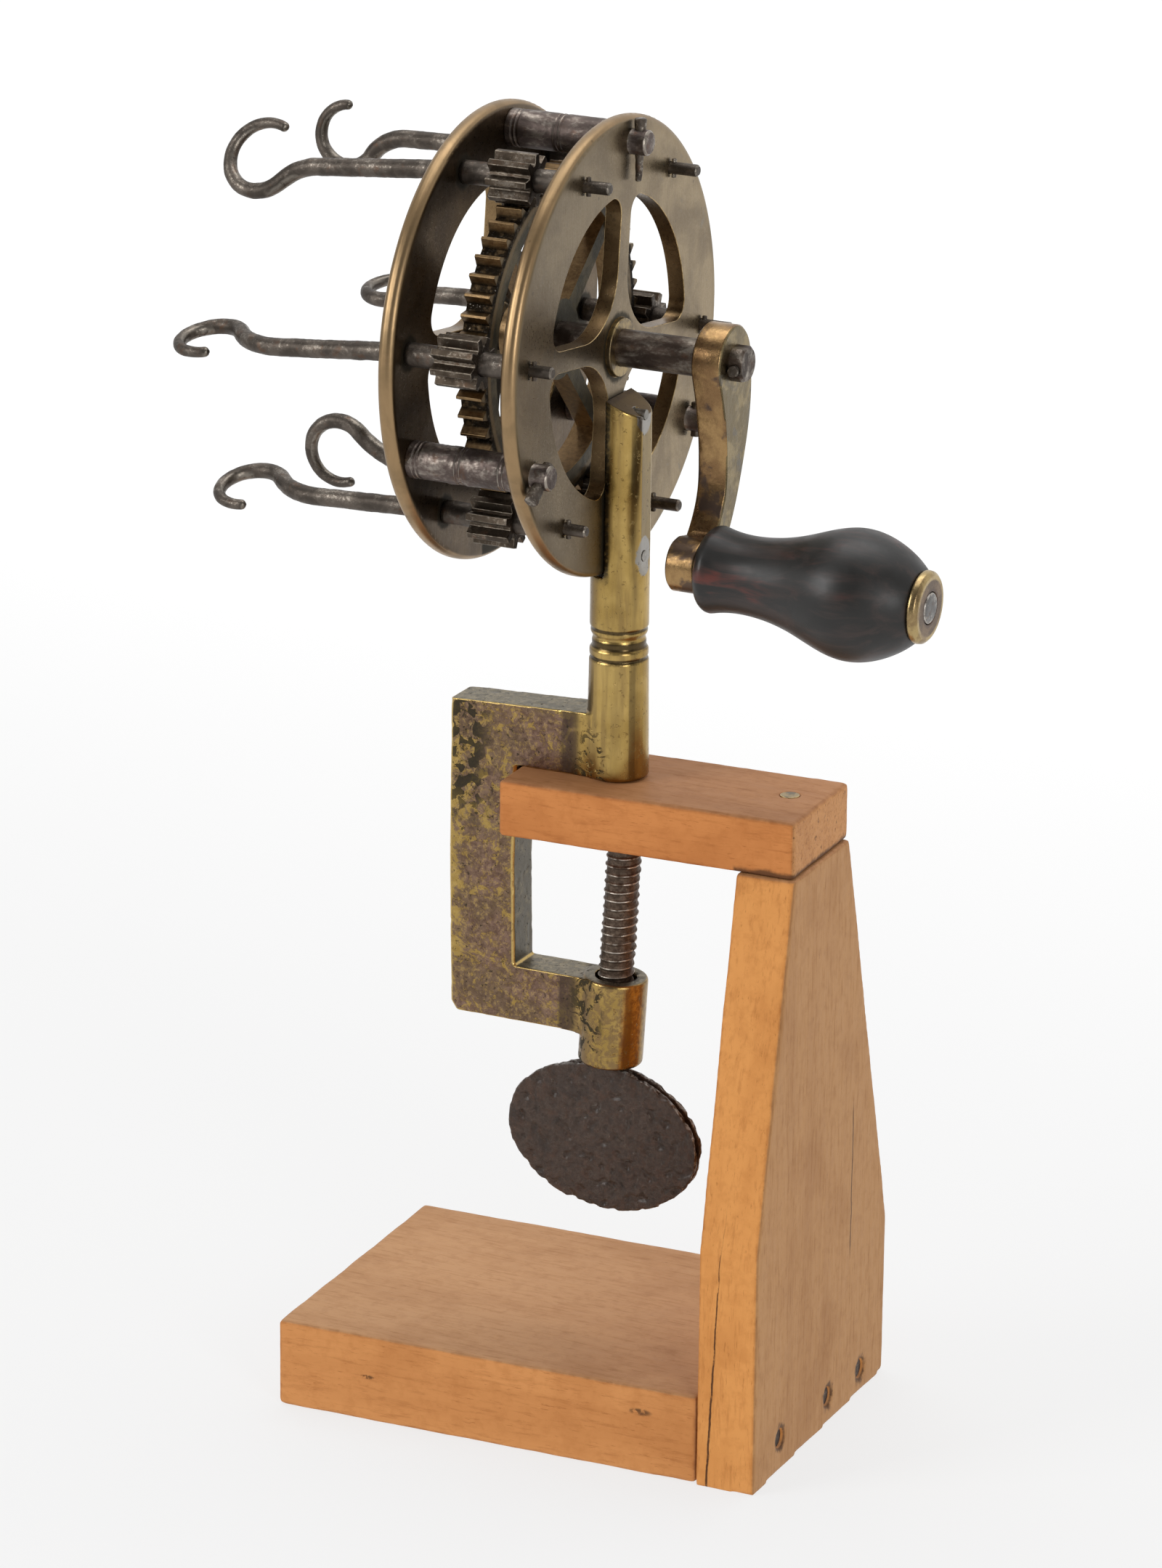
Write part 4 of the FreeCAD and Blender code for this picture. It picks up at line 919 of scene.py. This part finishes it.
Hook = namedtuple("Hook", "roll droop bend_r back side loop_r sweep")
HOOKS = [
    Hook(188, 2.2, 14, 54.5, -1.6, 8.5, 115),
    Hook(267, 1.3, 14, 57.6, 0.7, 8.6, 97),
    Hook(236, 5.3, 14.5, 56.6, -2.5, 9.9, 125),
    Hook(11, 5.0, 20, 56.8, 3.3, 8.5, 116),
    Hook(17, 1.9, 19, 54.9, 0.8, 8.8, 108),
    Hook(93, 0.0, 26, 55.2, 1.5, 9.0, 118),
]
SHANK_R = 2.65 * MM
BEND_WIRE_R = 2.55 * MM
LOOP_WIRE_R = 2.4 * MM
TIP_R = 1.4 * MM
ARBOR_R = 3.3 * MM
JOURNAL_R = 2.7 * MM
STUB_R = 1.7 * MM
STEP = 0.45 * MM


def hook_path(hook, foot):
    """(point, radius) pairs of the bent wire, from the rear plate to the hook's tip."""
    roll = math.radians(hook.roll)
    side = Vector((0, math.cos(roll), math.sin(roll)))
    back = Vector((-1, 0, 0))
    bend_r, loop_r, aside = hook.bend_r * MM, hook.loop_r * MM, hook.side * MM
    run = math.sqrt((bend_r + loop_r) ** 2 - (bend_r - aside) ** 2)
    bend_start = hook.back * MM - run
    rise = math.atan2(run, bend_r - aside)
    first = math.pi / 2 + rise
    sweep = first + math.radians(hook.sweep)
    plan = []
    count = int(bend_start / STEP)
    for step in range(count):
        share = step / count
        plan.append((bend_start * share, 0.0, SHANK_R + (BEND_WIRE_R - SHANK_R) * share))
    count = int(rise * bend_r / STEP)
    for step in range(count):
        share = step / count
        turn = rise * share
        radius = BEND_WIRE_R + (LOOP_WIRE_R - BEND_WIRE_R) * share
        plan.append((bend_start + bend_r * math.sin(turn), bend_r * (1 - math.cos(turn)), radius))
    count = int(sweep * loop_r / STEP)
    for step in range(count + 1):
        share = step / count
        turn = first - sweep * share
        radius = LOOP_WIRE_R + (TIP_R - LOOP_WIRE_R) * share
        plan.append((hook.back * MM + loop_r * math.cos(turn), aside + loop_r * math.sin(turn), radius))
    droop = Matrix.Rotation(math.radians(-hook.droop), 3, "Y")
    return [(foot + droop @ (back * along + side * across), radius) for along, across, radius in plan]


def forged_radius(point, radius, seed):
    """Radius that changes a little round the wire and along it, as hammering leaves it."""
    def at(way):
        spot = point + way * radius
        return radius * (1 + 0.050 * bumps(spot, 3.0 * MM, seed) + 0.022 * bumps(spot, 0.9 * MM, seed))
    return at


def flat_end(end_x, radius, bevel, way):
    """(x, radius) pairs of a rod's flat end with a crisp bevel, from the middle outwards."""
    steps = [(0.0, radius - 1.6 * bevel), (0.010, radius - 1.15 * bevel), (0.10, radius - 0.95 * bevel)]
    steps += [(0.90, radius - 0.10 * bevel), (1.10, radius - 0.01 * bevel), (1.5, radius)]
    return [(end_x + way * share * bevel, size) for share, size in steps]


def make_hooks():
    steel = dark_steel("hook_steel", (0.074, 0.062, 0.052), 0.25, 0.8 * MM, skyward=True, rim=True)
    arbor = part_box("rear_plate")[1].x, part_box("front_plate")[0].x
    for number, hook in enumerate(HOOKS, start=1):
        node = "hook_spindle_%d" % number
        _, y, z = JOINTS["hook_%d_spin" % number]["pos_m"]
        tip_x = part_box(node)[1].x
        gap = 0.25 * MM
        straight = flat_end(tip_x, STUB_R, 0.5 * MM, -1)
        straight += [(PLATE_FRONT_X, STUB_R), (arbor[1] - gap, STUB_R), (arbor[1] - gap, ARBOR_R)]
        count = int((arbor[1] - arbor[0]) / MM)
        for step in range(1, count):
            straight.append((arbor[1] - gap - step * (arbor[1] - arbor[0] - 2 * gap) / count, ARBOR_R))
        straight += [(arbor[0] + gap, ARBOR_R), (arbor[0] + gap, JOURNAL_R)]
        straight += [(PLATE_REAR_X - 0.5 * MM, JOURNAL_R), (PLATE_REAR_X - 0.8 * MM, JOURNAL_R * 0.94)]
        points = [Vector((x, y, z)) for x, _ in straight]
        sizes = [radius * 0.985 for _, radius in straight]
        radii = [forged_radius(point, size, number) for point, size in zip(points, sizes)]
        wire = hook_path(hook, Vector((PLATE_REAR_X, y, z)))
        wire = [(point, radius) for point, radius in wire if point.x < PLATE_REAR_X - 1.0 * MM]
        end = 1.3 * MM
        for index, (point, radius) in enumerate(wire):
            left = (len(wire) - 1 - index) * STEP
            if left < end:
                radius *= math.sqrt(max(0.04, 1 - (1 - left / end) ** 2))
            points.append(point)
            radii.append(forged_radius(point, radius * 0.97, number))
        paint(piece("hook_%d_forged" % number, tube(node, points, radii), node), steel)


def lathe(name, profile, start, axis, rough=0.0, sides=64, seed=0.0):
    """Closed skin turned about axis; profile is (distance from start, radius) pairs."""
    points, radii = [], []
    for along, radius in profile:
        point = start + axis * along
        points.append(point)
        radii.append(rough_radius(point, radius, rough, seed))
    return tube(name, points, radii, sides)


def rough_radius(point, radius, rough, seed):
    def at(way):
        spot = point + way * radius
        return radius + rough * (0.7 * bumps(spot, 3.5 * MM, seed) + 0.5 * bumps(spot, 1.1 * MM, seed))
    return at


PILLAR_R = 5.25 * MM
TENON_R = 3.5 * MM


def make_pillars():
    steel = dark_steel("pillar_steel", (0.080, 0.062, 0.055), 0.46, 2.6 * MM, 0.08, 0.6, rim=True)
    rear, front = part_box("rear_plate")[1].x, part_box("front_plate")[0].x
    for number, place in enumerate(("top", "near", "far")):
        low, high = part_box("pillar_" + place)
        centre = Vector((0, (low.y + high.y) / 2, (low.z + high.z) / 2))
        rough = (0.06, 0.26, 0.12)[number] * MM
        middle = (rear + front) / 2
        grooves = [rear + 2.2 * MM, rear + 3.4 * MM, middle - 0.7 * MM, middle + 0.7 * MM]
        grooves += [front - 3.4 * MM, front - 2.2 * MM]
        profile = [(low.x, TENON_R * 0.8), (low.x + 0.6 * MM, TENON_R), (rear - 0.01 * MM, TENON_R)]
        count = int((front - rear) / (0.3 * MM))
        for step in range(count + 1):
            x = rear + (front - rear) * step / count
            nearest = min(abs(x - groove) for groove in grooves)
            cut = 0.34 * MM * max(0.0, 1 - nearest / (0.42 * MM))
            profile.append((x, PILLAR_R - cut - rough * 0.8))
        profile.append((front + 0.01 * MM, TENON_R))
        profile += reversed(flat_end(high.x, TENON_R, 0.6 * MM, -1))
        mesh = lathe("pillar_" + place, profile, centre, Vector((1, 0, 0)), rough, 56, number * 3.1)
        paint(piece("pillar_%s_turned" % place, mesh, "pillar_" + place), steel)


def make_pins():
    steel = dark_steel("pin_steel", (0.060, 0.048, 0.038), 0.45, 1.4 * MM, metallic=0.8)
    nodes = ["pillar_pin_top", "pillar_pin_near", "pillar_pin_far", "crank_pin", "gear_pin"]
    for index, node in enumerate(nodes):
        mesh = remeshed(node, 0.22 * MM, 1)
        sculpt(mesh, lambda point, normal: 0.14 * MM * bumps(point, 1.3 * MM, index) - 0.08 * MM)
        paint(piece(node + "_dented", mesh, node), steel)
    for number in range(1, 7):
        node = "spindle_cotter_%d" % number
        mesh = remeshed(node, 0.13 * MM, 1)
        sculpt(mesh, lambda point, normal: 0.08 * MM * bumps(point, 0.8 * MM, number) - 0.03 * MM)
        paint(piece(node + "_bent", mesh, node), steel)


def make_shaft():
    steel = dark_steel("shaft_steel", (0.055, 0.040, 0.032), 0.55, 3.2 * MM, 0.12, 0.5)
    edge = bright_edge("shaft_edge", (0.50, 0.47, 0.43), (0.18, 0.155, 0.135))
    rivet = dark_steel("rivet_steel", (0.17, 0.165, 0.16), 0.7, 1.2 * MM)
    solder = dark_steel("solder_grey", (0.25, 0.24, 0.22), 0.6, 1.5 * MM)
    paint(crisp("main_shaft", 0.6 * MM, 30, 3), steel, edge)
    paint(crisp("handle_spindle", 0.3 * MM, 30, 3), rivet, edge)
    paint(crisp("post_rivets", 0.12 * MM), solder, solder)


def make_crank():
    brass = crank_brass()
    paint(crisp("crank_arm", 0.3 * MM, 60, 3), brass, brass)


def make_trim():
    brass = trim_brass()
    edge = bright_edge("trim_edge", (0.60, 0.46, 0.22), (0.30, 0.21, 0.10))
    for node in ("front_bush", "rear_bush"):
        paint(crisp(node, 0.25 * MM), brass, edge)
    ferrule = ferrule_brass()
    paint(crisp("handle_ferrule", 0.25 * MM), ferrule, ferrule)
    paint(crisp("board_screw", 0.3 * MM), brass, edge)
    iron = dark_steel("fastener_iron", (0.045, 0.034, 0.028), 0.15, 1.2 * MM, metallic=0.8)
    paint(crisp("base_screws", 0.3 * MM), iron, iron)


def make_handle():
    grip = piece("handle_grip_polished", remeshed("handle_grip", 0.8 * MM, 3), "handle_grip")
    paint(grip, grip_ebony())


def make_casting():
    """Post and C-clamp: cast, filed and dented."""
    mesh = remeshed("clamp_frame", 0.38 * MM, 2)

    def wear(point, normal):
        share = 0.2 if point.x > POST_LEFT else 1.0
        dent = 0.09 * MM * bumps(point, 7 * MM, 2.0) + 0.04 * MM * bumps(point, 2.6 * MM, 5.0)
        hole = pits(point, 3.0 * MM, 0.30 * MM, 0.30, 9.0)
        return share * (dent - hole) - 0.07 * MM

    sculpt(mesh, wear)
    paint(piece("clamp_casting", mesh, "clamp_frame"), cast_brass())


THREAD_PITCH = 2.5 * MM
THREAD_ROOT_R = 4.55 * MM
THREAD_DEPTH = 0.68 * MM


def make_clamp_screw():
    """Cut thread of one real helix; worn and battered in patches, and fading out at both ends."""
    axis = -Vector(JOINTS["clamp_screw_travel"]["axis"]).normalized()
    foot = Vector(JOINTS["clamp_screw_turn"]["pos_m"])
    low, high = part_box("clamp_spindle")
    start = foot + axis * ((low.z - foot.z) / axis.z + 0.5 * MM)
    length = (high.z - start.z) / axis.z - 0.35 * MM
    side = axis.orthogonal().normalized()
    other = axis.cross(side)
    step = 0.17 * MM
    points, radii = [], []
    for index in range(int(length / step) + 1):
        along = index * step
        centre = start + axis * along
        end = min(along, length - along)
        fade = min(1.0, end / (1.2 * MM))

        def at(way, along=along, centre=centre, fade=fade):
            turn = math.atan2(way.dot(other), way.dot(side)) / math.tau
            phase = (along / THREAD_PITCH - turn) % 1.0
            crest = max(0.0, math.cos(math.tau * phase)) ** 1.6
            spot = centre + way * 5 * MM
            worn = 0.62 + 0.5 * bumps(spot, 4.5 * MM, 3.0)
            rough = 0.09 * MM * bumps(spot, 1.2 * MM, 6.0)
            core = THREAD_ROOT_R * (0.93 + 0.07 * fade)
            return core + THREAD_DEPTH * crest * max(0.15, min(1.0, worn)) * fade + rough

        points.append(centre)
        radii.append(at)
    mesh = tube("clamp_spindle", points, radii, 60)
    paint(piece("clamp_screw_threaded", mesh, "clamp_spindle"), screw_iron())


def make_thumb_plate():
    iron = thumb_iron()
    for index, node in enumerate(("thumb_leaf_front", "thumb_leaf_back", "thumb_core")):
        mesh = remeshed(node, 0.4 * MM, 1)

        def rust(point, normal):
            flat = abs(normal.y)
            notch = bumps(point, 7 * MM, 4.0 + index * 7) + 0.5 * bumps(point, 2.6 * MM, 9.0 + index)
            notch += 0.30 * bumps(point, 1.2 * MM, 2.0 + index)
            chip = (0.6 if index == 1 else 1.6) * MM * max(0.0, notch + 0.10) * (1 - flat)
            skin = 0.16 * MM * bumps(point, 2.8 * MM, index) + 0.09 * MM * bumps(point, 1.3 * MM, index + 3)
            hole = pits(point, 2.4 * MM, 1.1 * MM, 0.45, 6.0 + index)
            return skin - chip - hole - 0.10 * MM

        sculpt(mesh, rust)
        paint(piece(node + "_rusted", mesh, node), iron)


def make_stand():
    # near, right and top colours of each piece: painted light and shade by facing, the top partly dirt
    parts = (
        ("stand_base", 0,
         (0.630, 0.275, 0.092), (0.480, 0.250, 0.110), (0.500, 0.275, 0.132), base_marks),
        ("stand_upright", 2,
         (0.710, 0.312, 0.090), (0.455, 0.240, 0.100), (0.500, 0.250, 0.110), upright_marks),
        ("stand_board", 0,
         (0.590, 0.228, 0.068), (0.540, 0.262, 0.100), (0.440, 0.210, 0.092), board_marks),
    )
    for index, (node, grain, near, right, top, marks) in enumerate(parts):
        mesh = remeshed(node, 0.8 * MM, 4)

        def hand_worn(point, normal):
            broad, small = bumps(point, 14 * MM, index), bumps(point, 3 * MM, index)
            return 0.10 * MM * broad + 0.05 * MM * small - 0.11 * MM

        sculpt(mesh, hand_worn)
        paint(piece(node + "_wood", mesh, node), stand_wood(node, grain, near, right, top, marks))


# ---------------------------------------------------------------- stage, light and camera
def make_stage():
    """White table: mostly its own glow, so that the shadows on it stay faint."""
    bm = bmesh.new()
    half = 4.0
    corners = [(-half, -half), (half, -half), (half, half), (-half, half)]
    bm.faces.new([bm.verts.new((x, y, 0)) for x, y in corners])
    floor = bpy.data.objects.new("floor", finished_mesh("floor", bm))
    bpy.context.scene.collection.objects.link(floor)
    look = Look("floor")
    look.roughness(0.9)
    look.shader.inputs["Specular IOR Level"].default_value = 0.0
    look.colour((0.16, 0.16, 0.16))
    _, y, _ = look.axes()
    look.shader.inputs["Emission Color"].default_value = (1, 1, 1, 1)
    look.feed(look.shader.inputs["Emission Strength"], look.ramp(y, 0.0, 1.2, 0.74, 0.95))
    paint(floor, look.material)


def area_light(name, place, target, size, power):
    data = bpy.data.lights.new(name, "AREA")
    data.shape = "RECTANGLE"
    data.size, data.size_y = size
    data.energy = power
    obj = bpy.data.objects.new(name, data)
    obj.location = place
    obj.rotation_mode = "QUATERNION"
    obj.rotation_quaternion = (Vector(target) - Vector(place)).to_track_quat("-Z", "Y")
    bpy.context.scene.collection.objects.link(obj)


def make_light():
    """Soft boxes left, right and above; the world is white behind the object and dark behind the camera."""
    area_light("left_box", (-1.10, -1.25, 0.95), (0, 0, 0.20), (0.8, 0.9), 15)
    area_light("right_box", (1.50, -1.20, 0.75), (0, 0, 0.20), (0.6, 0.9), 11)
    area_light("overhead", (-0.10, 0.25, 1.50), (0, 0, 0.20), (1.2, 0.9), 8)
    world = bpy.data.worlds.new("studio")
    bpy.context.scene.world = world
    world.use_nodes = True
    nodes, links = world.node_tree.nodes, world.node_tree.links
    place = nodes.new("ShaderNodeTexCoord")
    split = nodes.new("ShaderNodeSeparateXYZ")
    links.new(place.outputs["Generated"], split.inputs[0])
    spread = nodes.new("ShaderNodeMapRange")
    spread.interpolation_type = "SMOOTHSTEP"
    spread.inputs["From Min"].default_value = -0.35
    spread.inputs["From Max"].default_value = 0.55
    spread.inputs["To Min"].default_value = 0.22
    spread.inputs["To Max"].default_value = 0.95
    links.new(split.outputs[1], spread.inputs["Value"])
    links.new(spread.outputs[0], nodes["Background"].inputs["Strength"])
    nodes["Background"].inputs["Color"].default_value = (1, 1, 1, 1)


CAMERA_AZIMUTH = math.radians(25.876)
CAMERA_HEIGHT = math.radians(18.438)
CAMERA_ROLL = math.radians(0.651)
CAMERA_DISTANCE = 1.8205
CAMERA_TARGET = Vector((-10.83, -0.42, 183.57)) * MM
CAMERA_LENS = 152.33


def make_camera():
    data = bpy.data.cameras.new("camera")
    data.lens = CAMERA_LENS
    data.sensor_width = 36.0
    data.clip_start, data.clip_end = 0.1, 50
    camera = bpy.data.objects.new("camera", data)
    flat = math.cos(CAMERA_HEIGHT)
    east, north = math.cos(CAMERA_AZIMUTH), math.sin(CAMERA_AZIMUTH)
    ahead = Vector((-north * flat, east * flat, -math.sin(CAMERA_HEIGHT)))
    level = Vector((east, north, 0))
    above = level.cross(ahead)
    turn, lift = math.cos(CAMERA_ROLL), math.sin(CAMERA_ROLL)
    right = level * turn + above * lift
    up = above * turn - level * lift
    place = CAMERA_TARGET - ahead * CAMERA_DISTANCE
    camera.matrix_world = Matrix((
        (right.x, up.x, -ahead.x, place.x),
        (right.y, up.y, -ahead.y, place.y),
        (right.z, up.z, -ahead.z, place.z),
        (0, 0, 0, 1),
    ))
    bpy.context.scene.collection.objects.link(camera)
    bpy.context.scene.camera = camera
    bpy.context.scene.view_settings.view_transform = "Standard"


make_stand()
make_casting()
make_clamp_screw()
make_thumb_plate()
make_plates()
make_trim()
make_pillars()
make_pins()
make_gears()
make_hooks()
make_shaft()
make_crank()
make_handle()
make_stage()
make_light()
make_camera()
